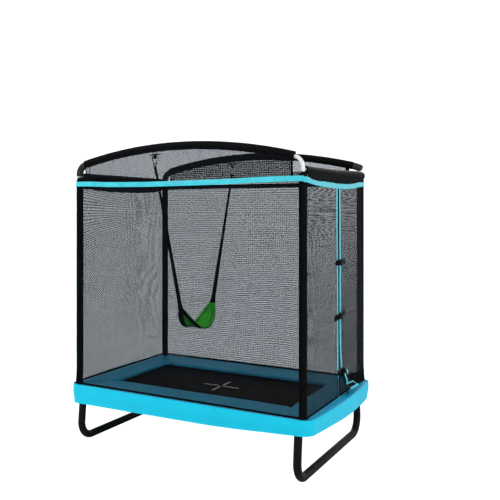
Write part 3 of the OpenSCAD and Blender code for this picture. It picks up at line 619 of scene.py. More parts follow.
def stitches(bm, points, up, pitch=0.007, length=0.0045, width=0.0009):
    """A row of sewn stitches lying along a line. up is the cloth's normal there, or a function that gives
    it for a point."""
    line = even(points, pitch)
    for a, b in zip(line, line[1:]):
        ahead = (b - a).normalized()
        normal = Vector(up(a)) if callable(up) else Vector(up)
        side = ahead.cross(normal).normalized()
        normal = side.cross(ahead).normalized()
        turn = Matrix((side, ahead, normal)).transposed().to_4x4()
        grow = Matrix.Diagonal((width / 2, length / 2, width / 2, 1.0))
        place = Matrix.Translation((a + b) / 2) @ turn @ grow
        bmesh.ops.create_cone(bm, cap_ends=True, segments=6, radius1=1.0, radius2=0.6, depth=1.0,
                              matrix=place @ Matrix.Rotation(math.pi / 2, 4, "X")
                              @ Matrix.Diagonal((1, 1, 2, 1)))


def piece(name, bm, look, body="root", stands_for=(), angle=35, recalculate=True):
    """Turns a bmesh into a finished piece that rides on a body."""
    if recalculate:
        bmesh.ops.recalc_face_normals(bm, faces=bm.faces)
    mesh = bpy.data.meshes.new(name)
    bm.to_mesh(mesh)
    bm.free()
    mesh.materials.append(finish(look))
    mesh.polygons.foreach_set("use_smooth", [True] * len(mesh.polygons))
    mesh.set_sharp_from_angle(angle=math.radians(angle))
    made = bpy.data.objects.new(name, mesh)
    bpy.context.scene.collection.objects.link(made)
    if body:
        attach(made, body)
    if stands_for:
        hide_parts(*stands_for)
    return made


def thicken(bm, thickness):
    """Gives every open sheet of a bmesh a thickness."""
    bmesh.ops.solidify(bm, geom=bm.faces[:], thickness=thickness)


def softened(node, radius, look, body="root", segments=2, angle=28, name=None):
    """A copy of a carried-over node with its edges rounded; it stands for the node."""
    bm = bmesh.new()
    bm.from_mesh(frame["nodes"][node].data)
    bmesh.ops.remove_doubles(bm, verts=bm.verts, dist=2e-6)
    bmesh.ops.dissolve_limit(bm, angle_limit=math.radians(1.5), verts=bm.verts, edges=bm.edges)
    limit = math.radians(angle)
    sharp = [e for e in bm.edges if len(e.link_faces) == 2 and e.calc_face_angle(0) > limit]
    bmesh.ops.bevel(bm, geom=sharp, offset=radius, segments=segments, profile=0.5, affect="EDGES",
                    material=-1, clamp_overlap=True)
    bmesh.ops.triangulate(bm, faces=[f for f in bm.faces if len(f.verts) > 4])
    return piece(name or node + "_finished", bm, look, body, (node,), 30, recalculate=False)


def dress(node, look):
    """Gives a carried-over node its finish."""
    mesh = frame["nodes"][node].data
    mesh.materials.clear()
    mesh.materials.append(finish(look))


def wobble(point, scale, depth, seed=0.0):
    """Smooth uneven movement of cloth, from noise at a point."""
    return noise.noise(Vector(point) * scale + Vector((seed, 2 * seed, -seed))) * depth


def ease(t, low=0.0, high=1.0):
    """0 before low, 1 after high, smooth between."""
    t = min(1.0, max(0.0, (t - low) / (high - low)))
    return t * t * (3 - 2 * t)


# ---------- frame ----------


class TRAMPOLINE_OT_frame(bpy.types.Operator):
    """Finish the legs, the bed frame, the posts, the elbows and the arches"""

    bl_idname = "trampoline.frame"
    bl_label = "Steel frame"

    def execute(self, context):
        tubes = [n for n in frame["nodes"] if n.startswith(("leg_", "corner_joint_", "rail_", "top_rail_"))]
        tubes += ["post_fl", "post_fr", "post_bl", "post_br", "arch_front", "arch_back"]
        for node in tubes:
            dress(node, "black_tube")
        for corner in ("fl", "fr", "bl", "br"):
            dress("elbow_" + corner, "pale_tube")
        softened("frame_bolts", 0.0006, "zinc")
        softened("elbow_screws", 0.0007, "zinc")
        return {"FINISHED"}


# ---------- bed ----------

SPRINGS_LONG, SPRINGS_SHORT, SPRING_PITCH = 14, 7, 0.105
SPRING_SPAN = 0.150
SPRING_R, SPRING_WIRE = 0.009, 0.0019
RAIL_X, RAIL_Y = middle("rail_right").x, middle("rail_back").y
SPRING_AXIS_Z = middle("rail_right").z + span("rail_right").z / 2 + 0.0023


def spring_path(turns):
    """One bed spring from its hook in the mat's ring at the origin to its hook in the rail, along +X."""
    start, end = 0.024, SPRING_SPAN - 0.032 + 0.006
    coil = SPRING_R - SPRING_WIRE
    per_turn = 8
    path = [(0, 0, -0.007), (0, 0, -0.002), (0.0025, 0, 0), (0.016, 0, 0)]
    for k in range(turns * per_turn + 1):
        t, a = k / (turns * per_turn), TAU * k / per_turn
        r = coil * min(1.0, (k + 1) / 4, (turns * per_turn - k + 1) / 4)
        path.append((start + (end - start) * t, r * math.sin(a), r * math.cos(a)))
    path += [(end + 0.008, 0, 0), (SPRING_SPAN - 0.0025, 0, 0), (SPRING_SPAN, 0, -0.002),
             (SPRING_SPAN, 0, -0.009)]
    return [Vector(p) for p in path]


def ring_places():
    """(group, turn and place of a mat ring) for each spring."""
    for sign, name in ((1, "right"), (-1, "left")):
        for i in range(SPRINGS_SHORT):
            y = (i - (SPRINGS_SHORT - 1) / 2) * SPRING_PITCH
            turn = Matrix.Rotation(0 if sign > 0 else math.pi, 4, "Z")
            yield name, Matrix.Translation((sign * (RAIL_X - SPRING_SPAN), y, SPRING_AXIS_Z)) @ turn
    for sign, name in ((1, "back"), (-1, "front")):
        for i in range(SPRINGS_LONG):
            x = (i - (SPRINGS_LONG - 1) / 2) * SPRING_PITCH
            turn = Matrix.Rotation(sign * math.pi / 2, 4, "Z")
            yield name, Matrix.Translation((x, sign * (RAIL_Y - SPRING_SPAN), SPRING_AXIS_Z)) @ turn


class TRAMPOLINE_OT_springs(bpy.types.Operator):
    """Wind the coil springs and bend the rings that join them to the mat"""

    bl_idname = "trampoline.springs"
    bl_label = "Springs and rings"

    def execute(self, context):
        path = spring_path(context.scene.tramp_steel.coil_turns)
        rods = {name: bmesh.new() for name in ("right", "left", "back", "front")}
        rings = bmesh.new()
        ring = rounded([(-0.0138, -0.0165, 0), (-0.0138, 0.0165, 0), (0.0022, 0.0048, 0), (0.0042, 0, 0),
                           (0.0022, -0.0048, 0)], 0.003, 3, True)
        drop = Vector((0, 0, -RING_DROP))
        for name, place in ring_places():
            sweep(rods[name], [place @ p for p in path], ring_section(SPRING_WIRE, 5))
            sweep(rings, [place @ (p + drop) for p in ring], ring_section(0.0019, 6), side=(0, 0, 1),
                  loop=True)
        for name, bm in rods.items():
            made = piece("springs_" + name, bm, "zinc", None, ("springs",), 80)
            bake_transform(made)
        piece("mat_rings_bent", rings, "zinc", "bounce", ("mat_rings",), 80)
        return {"FINISHED"}


HEM_W = 0.04
RING_DROP = 0.0042   # how far the rings lie below the springs' axis


class TRAMPOLINE_OT_mat(bpy.types.Operator):
    """Sew the jumping mat, its hem, its ring loops and its marks"""

    bl_idname = "trampoline.mat"
    bl_label = "Jumping mat"

    def execute(self, context):
        half_x, half_y = MAT_HIGH.x, MAT_HIGH.y
        level = (MAT_LOW.z + MAT_HIGH.z) / 2

        def place(s, t):
            """A point of the mat, which sags a little inside its hem."""
            x, y = (2 * s - 1) * half_x, (2 * t - 1) * half_y
            inside = min(half_x - abs(x), half_y - abs(y))
            hem = 1 - ease(inside, HEM_W - 0.003, HEM_W + 0.002)
            sag = ease(inside, 0.0, 0.36) * 0.003
            return Vector((x, y, level + 0.0006 + 0.0011 * hem - sag + wobble((x, y, 0), 14, 0.0004)))

        bm = bmesh.new()
        surface(bm, 180, 98, place, (2 * half_x, 2 * half_y))
        thicken(bm, -0.0016)
        mat = piece("jump_mat_woven", bm, "mat", "bounce", ("jump_mat",))

        loops = bmesh.new()
        for _, at in ring_places():
            loop = [(-0.036, 0.0035), (-0.017, 0.0033), (-0.0112, 0.0031)]
            loop += [(x, -z) for x, z in reversed(loop)]
            line = rounded([(x, 0, -RING_DROP + z) for x, z in loop], 0.002, 2)
            sweep(loops, [at @ Vector(p) for p in line], strip_section(0.019, 0.0012, 1, 2),
                  side=at.to_3x3() @ Vector((0, 1, 0)))
        piece("mat_ring_loops", loops, "strap", "bounce")

        seams = bmesh.new()
        for inset in (0.006, HEM_W - 0.006):
            x, y, z = half_x - inset, half_y - inset, level + 0.0020
            corners = [(-x, -y, z), (x, -y, z), (x, y, z), (-x, y, z), (-x, -y, z)]
            for a, b in zip(corners, corners[1:]):
                stitches(seams, [a, b], (0, 0, 1), 0.011, 0.007, 0.0011)
        piece("mat_hem_seams", seams, "stitch_black", "bounce")

        marks = bmesh.new()
        low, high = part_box("mat_mark")
        arm, gap, width = high.x, 0.02, 0.015
        for turn in range(4):
            spin = Matrix.Rotation(turn * math.pi / 2, 4, "Z")
            line = [spin @ Vector((gap + (arm - gap) * k / 12, 0, low.z + 0.0004)) for k in range(13)]
            sweep(marks, line, strip_section(width, 0.0007, 1, 4), side=spin.to_3x3() @ Vector((0, 1, 0)))
        piece("mat_mark_tapes", marks, "tape", "bounce", ("mat_mark",))
        return {"FINISHED"}


# ---------- pad and skirt ----------


def outline(half_x, half_y, radius, bulge_end, bulge_side, steps=(16, 44, 64)):
    """Closed outline of a rectangle with round corners whose sides bulge, from the +X side's back end."""
    corner_steps, end_steps, side_steps = steps
    x, y = half_x - bulge_end, half_y - bulge_side

    def corner(quarter):
        """The points of one round corner."""
        sx, sy = 1 if quarter in (0, 3) else -1, 1 if quarter < 2 else -1
        for i in range(corner_steps + 1):
            a = math.pi / 2 * (quarter + i / corner_steps)
            yield Vector((sx * (x - radius) + radius * math.cos(a),
                          sy * (y - radius) + radius * math.sin(a), 0))

    corners = [list(corner(q)) for q in range(4)]
    push = [(Vector((0, 1, 0)) * bulge_side, side_steps), (Vector((-1, 0, 0)) * bulge_end, end_steps),
            (Vector((0, -1, 0)) * bulge_side, side_steps), (Vector((1, 0, 0)) * bulge_end, end_steps)]
    out = []
    for q in range(4):
        out += corners[q]
        a, b = corners[q][-1], corners[(q + 1) % 4][0]
        shift, count = push[q]
        out += [a.lerp(b, k / count) + shift * 4 * (k / count) * (1 - k / count) for k in range(1, count)]
    return out


def pad_edge(inset=0.0):
    """The pad's outer outline, moved in."""
    return outline(PAD_HIGH.x - inset, PAD_HIGH.y - inset, PAD_CORNER_R - inset * 0.5, PAD_BULGE_END,
                   PAD_BULGE_SIDE)


def corner_line_distance(x, y):
    """Distance of a point from the nearest mitred seam of the pad."""
    inner = Vector((OPENING_X, OPENING_Y))
    outer = Vector((PAD_HIGH.x - 0.043, PAD_HIGH.y - 0.028))
    ahead = (outer - inner).normalized()
    offset = Vector((abs(x), abs(y))) - inner
    if offset.dot(ahead) < -0.02:
        return 1.0
    return abs(offset.cross(ahead))


def pad_height(x, y, share, crown):
    """Height of the pad's top, share of the way out from the opening."""
    thickness = PAD_HIGH.z - PAD_LOW.z
    sag = crown * abs(2 * share - 1) ** 5
    seam = 0.006 * math.exp(-((corner_line_distance(x, y) / 0.010) ** 2))
    puffs = wobble((x, y, 0), 7, 0.0012, 3) + wobble((x, y, 0), 26, 0.0005, 9)
    return PAD_LOW.z + thickness - 0.0012 - sag - seam + puffs


class TRAMPOLINE_OT_pad(bpy.types.Operator):
    """Upholster the safety pad in four mitred panels"""

    bl_idname = "trampoline.pad"
    bl_label = "Safety pad"

    def execute(self, context):
        crown = context.scene.tramp_bed.crown
        inner = outline(OPENING_X, OPENING_Y, 0.008, 0.0, 0.0)
        outer = pad_edge(0.003)
        count = len(inner)
        profile = [(0.0, 0.10), (0.0, 0.35), (0.0, 0.62), (0.006, 0.85)]
        profile += [(0.012 + 0.976 * k / 24, None) for k in range(25)]
        profile += [(0.994, 0.85), (1.0, 0.62), (1.0, 0.35), (1.0, 0.10), (0.99, 0.0)]
        profile += [(0.8, 0.0), (0.5, 0.0), (0.2, 0.0), (0.01, 0.0)]

        def place(s, t):
            """A point of the pad's cover: s goes round its section and t round the opening."""
            i, k = round(t * count) % count, round(s * len(profile)) % len(profile)
            share, height = profile[k]
            at = inner[i].lerp(outer[i], share)
            top = pad_height(at.x, at.y, share, crown)
            at.z = top if height is None else PAD_LOW.z + 0.0004 + (top - PAD_LOW.z) * height
            return at

        bm = bmesh.new()
        made = surface(bm, len(profile), count, place, (0.54, lengths(outer)[-1]))
        bmesh.ops.remove_doubles(bm, verts=made, dist=WELD)
        pad = piece("safety_pad_cover", bm, "pad", "root", ("safety_pad",), 50)

        seams = bmesh.new()
        for sx in (-1, 1):
            for sy in (-1, 1):
                a = Vector((sx * (OPENING_X + 0.004), sy * (OPENING_Y + 0.004), 0))
                b = Vector((sx * (PAD_HIGH.x - 0.047), sy * (PAD_HIGH.y - 0.032), 0))
                line = []
                for k in range(25):
                    p = a.lerp(b, k / 24)
                    p.z = pad_height(p.x, p.y, 0.02 + 0.96 * k / 24, crown) + 0.0012
                    line.append(p)
                sweep(seams, line, ring_section(0.0016, 6))
        piece("pad_mitre_seams", seams, "pad")

        rim = bmesh.new()
        inset = outline(OPENING_X + 0.010, OPENING_Y + 0.010, 0.008, 0.0, 0.0)
        line = [Vector((p.x, p.y, pad_height(p.x, p.y, 0.04, crown) + 0.0006)) for p in inset]
        stitches(rim, line + line[:1], (0, 0, 1), 0.010, 0.006, 0.0010)
        piece("pad_rim_stitches", rim, "stitch_blue")
        return {"FINISHED"}


class TRAMPOLINE_OT_skirt(bpy.types.Operator):
    """Hang the skirt from the pad's outer edge"""

    bl_idname = "trampoline.skirt"
    bl_label = "Skirt"

    def execute(self, context):
        flutter = context.scene.tramp_bed.flutter
        top = PAD_HIGH.z - 0.0045
        drop = top - SKIRT_LOW.z - SKIRT_SLANT / 2
        edge, drawn = pad_edge(0.0), pad_edge(0.006)
        around = lengths(edge + edge[:1])
        count, rows = len(edge), 16

        def place(s, t):
            """A point of the skirt: s goes round it and t up it."""
            i = round(s * count) % count
            fall = 1 - t
            out = edge[i].lerp(drawn[i], ease(fall, 0.35, 1.0))
            away = (edge[i] - drawn[i]).normalized()
            at = around[i]
            wave = noise.noise(Vector((at * 5.0, fall * 0.6, 1.5)))
            wave += 0.5 * noise.noise(Vector((at * 13, fall, 7.5)))
            puff = 0.0016 * math.sin(math.pi * min(1.0, fall * 1.3))
            out = out + away * (wave * flutter * fall - 0.0006 + puff)
            hem = 0.0009 * (1 - ease(abs(fall - 0.86), 0.0, 0.03))
            out = out - away * hem
            deep = drop - SKIRT_SLANT * out.x / (PAD_HIGH.x - PAD_LOW.x)
            from_corner = math.hypot(out.x - PAD_HIGH.x, out.y - PAD_LOW.y)
            deep += 0.008 - 0.023 * (1 - ease(from_corner, 0.0, 0.75))
            out.z = top - deep * fall + 0.0022 * noise.noise(Vector((at * 3.0, 4.0, 0.0))) * fall
            return out

        bm = bmesh.new()
        made = surface(bm, count, rows, place, (around[-1], drop))
        bmesh.ops.remove_doubles(bm, verts=made, dist=WELD)
        bmesh.ops.recalc_face_normals(bm, faces=bm.faces)
        thicken(bm, 0.0012)
        skirt = piece("pad_skirt_cloth", bm, "skirt", "root", ("pad_skirt",), 60)

        welt = bmesh.new()
        line = [Vector((p.x, p.y, PAD_HIGH.z - 0.0042)) for p in pad_edge(0.0022)]
        sweep(welt, line, ring_section(0.0024, 8), side=(0, 0, 1), loop=True)
        piece("pad_edge_welt", welt, "skirt")
        return {"FINISHED"}


# ---------- foam sleeves ----------


def arch_point(angle, sign, lift=0.0):
    """A point of an arch's middle line, at an angle from the top."""
    r = ARCH_R + lift
    return Vector((r * math.sin(angle), sign * POST_Y, ARCH_MIDDLE + r * math.cos(angle)))


def sleeve(name, line, radius, node, look="foam", seed=0.0, flare=None, sides=32):
    """A foam sleeve with a sewn skin: uneven, with drawn-in ends."""
    bm = bmesh.new()
    way = lengths(line)[-1]
    ring = ring_section(radius, sides)

    def size(t):
        """The section's scale: tucked in at the ends, and lumpy between."""
        from_end = min(t, 1 - t) * way
        tuck = 1 - 0.16 * (1 - ease(from_end, 0.0, 0.008))
        lumps = 1 + 0.012 * noise.noise(Vector((t * way * 7, seed, 0))) + (flare(t * way) if flare else 0.0)
        return (tuck * lumps, tuck * (2 - lumps) if not flare else tuck * lumps)

    made = sweep(bm, line, ring, size=size)
    for v in made:
        v.co += v.normal * wobble(v.co, 30, 0.0006, seed)
    sleeve_piece = piece(name, bm, look, "root", (node,), 60)
    return sleeve_piece


def straight(a, b, gap=0.02):
    """Points along a straight line, closer together at its ends."""
    a, b = Vector(a), Vector(b)
    near = [0.0, 0.002, 0.005, 0.010]
    way = (b - a).length
    inner = max(2, round((way - 0.02) / gap))
    at = near + [0.010 + (way - 0.02) * k / inner
                 for k in range(1, inner)] + [way - n for n in reversed(near)]
    return [a.lerp(b, d / way) for d in at]


class TRAMPOLINE_OT_sleeves(bpy.types.Operator):
    """Pull the foam sleeves over the posts, the arches and the top rails"""

    bl_idname = "trampoline.sleeves"
    bl_label = "Foam sleeves"

    def execute(self, context):
        corners = {"fl": (-1, -1), "fr": (1, -1), "bl": (-1, 1), "br": (1, 1)}
        for seed, (corner, (sx, sy)) in enumerate(corners.items()):
            grow = 0.20 if corner in ("fl", "br") else 0.08
            lean = 0.0045 * sx if corner in ("fl", "br") else 0.0
            line = [p + Vector((lean * (1 - ease(p.z - SLEEVE_FOOT, 0.0, 0.12)), 0, 0)) for p in
                    straight((sx * POST_X, sy * POST_Y, SLEEVE_FOOT), (sx * POST_X, sy * POST_Y, SLEEVE_TOP))]
            sleeve(f"post_foam_{corner}", line, SLEEVE_R, "post_sleeve_" + corner, "foam", seed + 0.5,
                   lambda d, g=grow: g * (1 - ease(d, 0.0, 0.09)))
        for sign, side in ((-1, "front"), (1, "back")):
            reach = ARCH_HALF - math.radians(0.05)
            count = 110
            near = [0.0, 0.002, 0.006]
            angles = [-reach + d / ARCH_R for d in near]
            angles += [-reach + 0.01 / ARCH_R + (2 * reach - 0.02 / ARCH_R) * k / count
                       for k in range(count + 1)]
            angles += [reach - d / ARCH_R for d in reversed(near)]
            stout, lift = (0.0285, 0.005) if sign > 0 else (0.0275, 0.0035)
            sleeve(f"arch_foam_{side}", [arch_point(a, sign, lift) for a in angles], stout,
                   "arch_sleeve_" + side,
                   "foam", 9.5 + sign)
        for sign, side in ((-1, "left"), (1, "right")):
            low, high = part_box("top_sleeve_" + side)
            past = 0.046 if sign > 0 else 0.0   # the door end's sleeve hides the corner behind it
            way = high.y + past - low.y
            line = [p + Vector((0, 0, 0.2 * past * ease(p.y - low.y, way - 0.8, way))) for p in
                    straight((sign * POST_X, low.y, TOP_RAIL_Z), (sign * POST_X, high.y + past, TOP_RAIL_Z))]
            sleeve(f"top_foam_{side}", line, (high.x - low.x) / 2, "top_sleeve_" + side, "foam", 14.5 + sign,
                   lambda d, w=way, p=past: 6.0 * p * ease(d, w - 0.8, w - 0.05) if p else 0.0)
        for corner in ("fl", "bl"):
            sx, sy = corners[corner]
            low, last = POST_TOP + 0.013, math.radians(89.5) - ARCH_HALF
            line = [Vector((sx * POST_X, sy * POST_Y, low + d)) for d in (0.0, 0.003, 0.007, 0.011)]
            for k in range(25):
                a = last * k / 24
                line.append(Vector((sx * (POST_X - ELBOW_R + ELBOW_R * math.cos(a)), sy * POST_Y,
                                    ELBOW_MIDDLE_Z + ELBOW_R * math.sin(a))))
            sleeve(f"elbow_cover_foam_{corner}", line, 0.0245, "elbow_covers", "cover", 20.5 + sx + 2 * sy)
        start = arch_point(ARCH_HALF, 1, 0.004)
        ahead = Vector((math.cos(ARCH_HALF), 0, -math.sin(ARCH_HALF)))
        line = [start + ahead * d for d in (0.0, 0.003, 0.007)]
        line += [start + ahead * d + Vector((0, 0, -1.9 * d * d))
                 for d in (0.014, 0.024, 0.034, 0.044, 0.054, 0.064)]
        sleeve("elbow_cover_foam_br", line, 0.0265, "elbow_covers", "cover", 23.5)
        return {"FINISHED"}


# ---------- netting ----------

NET_ROWS, BAND_ROW = 16, 12   # steps along an upright thread, and the step at the band


def net_threads(bm, count, steps, line, thickness):
    """Parallel flat threads. line(k, s) gives a point of thread k and half its width there, as a vector."""
    rows = 2 * count - 1
    made = surface(bm, steps, rows, lambda s, t: Vector((s, t, 0)))
    gaps = []
    for face in {f for v in made for f in v.link_faces}:
        if int(face.calc_center_median().y * rows) % 2:
            gaps.append(face)
    bmesh.ops.delete(bm, geom=gaps, context="FACES")
    flats = [v for v in made if v.is_valid]
    for v in flats:
        row = round(v.co.y * rows)
        at, half = line(row // 2, round(v.co.x * steps) / steps)
        v.co = at + (half if row % 2 else -half)
    faces = list({f for v in flats for f in v.link_faces})
    bmesh.ops.solidify(bm, geom=faces, thickness=thickness)


def net_panel(name, node, low, high, foot, top, wall, thread, seed, rests_on, dense=1.0, heavy=0.0,
              uneven=0.0):
    """Netting between low and high along a wall, from foot up to top(u). wall(u, z, lift) gives the point,
    thread is the pitch, width and thickness, dense widens the threads above the band, heavy towards
    the foot, and uneven shifts the level threads by up to that share of the pitch."""
    bm = bmesh.new()
    pitch, width, thickness = thread
    tallest = max(top(low + (high - low) * k / 40) for k in range(41))
    band = BAND_TOP - BAND_W / 2

    def billow(u, z):
        """How far the netting swells out, held at its edges and at the band."""
        share_u, share_z = (u - low) / (high - low), (z - foot) / (tallest - foot)
        hold = min(1.0, 16 * share_u * (1 - share_u)) * min(1.0, 16 * share_z * (1 - share_z))
        hold *= ease(abs(z - band), 0.02, 0.22)
        return hold * (wobble((u * 1.3, z * 1.1, seed), 2.2, 0.007) + wobble((u, z, seed), 6.0, 0.0025))

    def half(z):
        """Half a thread's width at a height."""
        above = (dense - 1) * ease(z, band - 0.004, band + 0.004)
        return width / 2 * (1 + above + heavy * (1 - ease(z, foot + 0.2, band)))

    def along(u, z):
        """The direction along the wall."""
        return (wall(u + 0.001, z, 0) - wall(u, z, 0)).normalized()

    def upright(k, s):
        """A point of an upright thread and half its width."""
        u = low + (high - low) * (k + 0.5) / upright_count
        z = foot + (top(u) - foot) * s
        row = s * NET_ROWS
        if row == BAND_ROW and top(u) > band:
            z = band + 0.002
        elif BAND_ROW < row < NET_ROWS:
            z = band + 0.002 + (top(u) - band - 0.002) * (row - BAND_ROW) / (NET_ROWS - BAND_ROW)
        elif row < BAND_ROW:
            z = foot + (band - 0.006 - foot) * row / (BAND_ROW - 1)
        drift = wobble((k * 0.05, z * 1.5, seed), 1.0, 0.0012)
        return wall(u + drift, z, billow(u, z) + 0.0003), along(u, z) * half(z)

    def level(k, s):
        """A point of a level thread and half its width."""
        z = foot + (tallest - foot) * (k + 0.5) / level_count
        z += uneven * pitch * noise.noise(Vector((k * 7.31, seed, 0.5)))
        if k not in spans:
            inside = [u for u in (low + (high - low) * i / 400 for i in range(401)) if top(u) >= z - 0.0005]
            spans[k] = (inside[0], inside[-1]) if inside else ((low + high) / 2,) * 2
        u = spans[k][0] + (spans[k][1] - spans[k][0]) * s
        drift = wobble((u * 1.5, k * 0.05, seed + 5), 1.0, 0.0016)
        return wall(u, z + drift, billow(u, z) - 0.0003), Vector((0, 0, half(z)))

    spans = {}
    upright_count = max(2, round((high - low) / pitch))
    level_count = max(2, round((tallest - foot) / pitch))
    net_threads(bm, upright_count, NET_ROWS, upright, thickness)
    net_threads(bm, level_count, max(8, round((high - low) / 0.1)), level, thickness)
    made = piece(name, bm, "thread", "root", (node,), 60)
    area = sum(top(low + (high - low) * (k + 0.5) / 100) - foot for k in range(100)) * (high - low) / 100
    return made


def side_top(first, last):
    """Upper edge of a side panel: up to the arch between first and last, and to the posts' tops beyond."""
    def top(u):
        """Height of the edge at a place."""
        if not first <= u <= last:
            return POST_TOP
        return ARCH_MIDDLE + math.sqrt((ARCH_R - 0.012) ** 2 - u * u)
    return top


def end_top(u):
    """Upper edge of the panels at both ends."""
    return NET_END_TOP


def long_wall(sign):
    """The plane of the front or back netting."""
    return lambda u, z, lift: Vector((u, sign * (NET_Y + 0.0012 + lift), z))


def end_wall(sign, gap, share):
    """The plane of the netting at an end, which takes up a share of the billow."""
    return lambda u, z, lift: Vector((sign * (NET_X + gap + share * lift), u, z))


NET_EDGES = {"front": (-0.790, 0.800), "back": (-0.812, 0.756)}


class TRAMPOLINE_OT_nets(bpy.types.Operator):
    """Weave the net panels thread by thread"""

    bl_idname = "trampoline.nets"
    bl_label = "Netting"

    def execute(self, context):
        net = context.scene.tramp_net
        foot = NET_FOOT + 0.001
        front, back = long_wall(-1), long_wall(1)
        left, door = end_wall(-1, 0.0012, 1), end_wall(1, 0.0006, 0.4)
        # side, low, high, top, wall, (pitch, width, thickness), seed, foam above, dense, heavy, uneven
        panels = (
            ("front", -POST_X, POST_X, side_top(*NET_EDGES["front"]), front, (1, 1, 0.0005), 2.5,
             "arch_foam_front", 1.75, 0.0, 0.0),
            ("back", -POST_X, POST_X, side_top(*NET_EDGES["back"]), back, (1, 1.22, 0.0004), 4.5,
             "arch_foam_back", 1.25, 0.0, 0.0),
            ("left", -POST_Y, POST_Y, end_top, left, (0.88, 1.21, 0.0003), 8.5, "top_foam_left", 1.0, 0.0,
             0.0),
            ("door_front", -POST_Y, -NET_SLIT, end_top, door, (1, 1.45, 0.0004), 12.5,
             "top_foam_right", 1.0, 0.2, 0.8),
            ("door_back", NET_SLIT, POST_Y, end_top, door, (1, 1.66, 0.0004), 15.5,
             "top_foam_right", 1.0, 0.42, 0.8),
        )
        for side, low, high, top, wall, (gap, width, thickness), seed, foam, *rest in panels:
            net_panel("netting_" + side, "net_" + side, low, high, foot, top, wall,
                      (net.pitch * gap, net.thread_w * width, thickness), seed, [foam, "safety_pad_cover"],
                      *rest)
        return {"FINISHED"}


BAND_IN = BAND_HIGH.y - POST_Y - BAND_THK
BAND_DIPS = {
    "front": ((-0.87, 3), (-0.78, 2), (-0.69, 7), (-0.60, 10), (-0.42, 16), (-0.26, 16), (0.0, 14),
              (0.21, 12),
              (0.43, 11), (0.57, 2), (0.77, 0), (0.87, 3)),
    "door": ((-0.57, 4), (-0.47, 19), (-0.29, 27), (-0.10, 31), (0.10, 30), (0.20, 29), (0.31, 23), (0.43, 8),
             (0.55, -3), (0.57, -3)),
    "back": ((-0.87, -2), (-0.4, -5), (0.4, -5), (0.87, -3)),
    "left": ((-0.57, 5), (-0.49, 15), (-0.35, 26), (-0.17, 35), (0.18, 35), (0.42, 29), (0.52, 6),
             (0.57, -2)),
}


def band_plan(outside, steps=10, gap=0.03):
    """Outline of the band round the posts, as (point, outward) pairs, from the door end's back corner."""
    out = []
    ways = [((1, 1), 0), ((-1, 1), 1), ((-1, -1), 2), ((1, -1), 3)]
    for (sx, sy), quarter in ways:
        for i in range(steps + 1):
            a = math.pi / 2 * (quarter + i / steps)
            away = Vector((math.cos(a), math.sin(a), 0))
            out.append((Vector((sx * POST_X, sy * POST_Y, 0)) + away * outside, away))
        if quarter % 2 == 0:
            count, run, step = round(2 * POST_X / gap), 2 * POST_X, Vector((-sx, 0, 0))
        else:
            count, run, step = round(2 * POST_Y / gap), 2 * POST_Y, Vector((0, -sy, 0))
        last = out[-1]
        out += [(last[0] + step * run * k / count, last[1]) for k in range(1, count)]
    return out


def band_foot(x, y):
    """Height of the band's lower edge at a place."""
    if abs(x) > POST_X + 0.6 * BAND_IN:
        at, dips = y, BAND_DIPS["door" if x > 0 else "left"]
    else:
        at, dips = x, BAND_DIPS["back" if y > 0 else "front"]
    at = min(dips[-1][0] - 1e-6, max(dips[0][0], at))
    k = next(i for i in range(len(dips) - 1) if dips[i + 1][0] > at)
    share = (at - dips[k][0]) / (dips[k + 1][0] - dips[k][0])
    low = (dips[max(0, k - 1)][1] + 2 * dips[k][1] + dips[k + 1][1]) / 4
    high = (dips[k][1] + 2 * dips[k + 1][1] + dips[min(len(dips) - 1, k + 2)][1]) / 4
    return BAND_TOP - BAND_W - 0.0045 - 0.001 * (low + (high - low) * share)


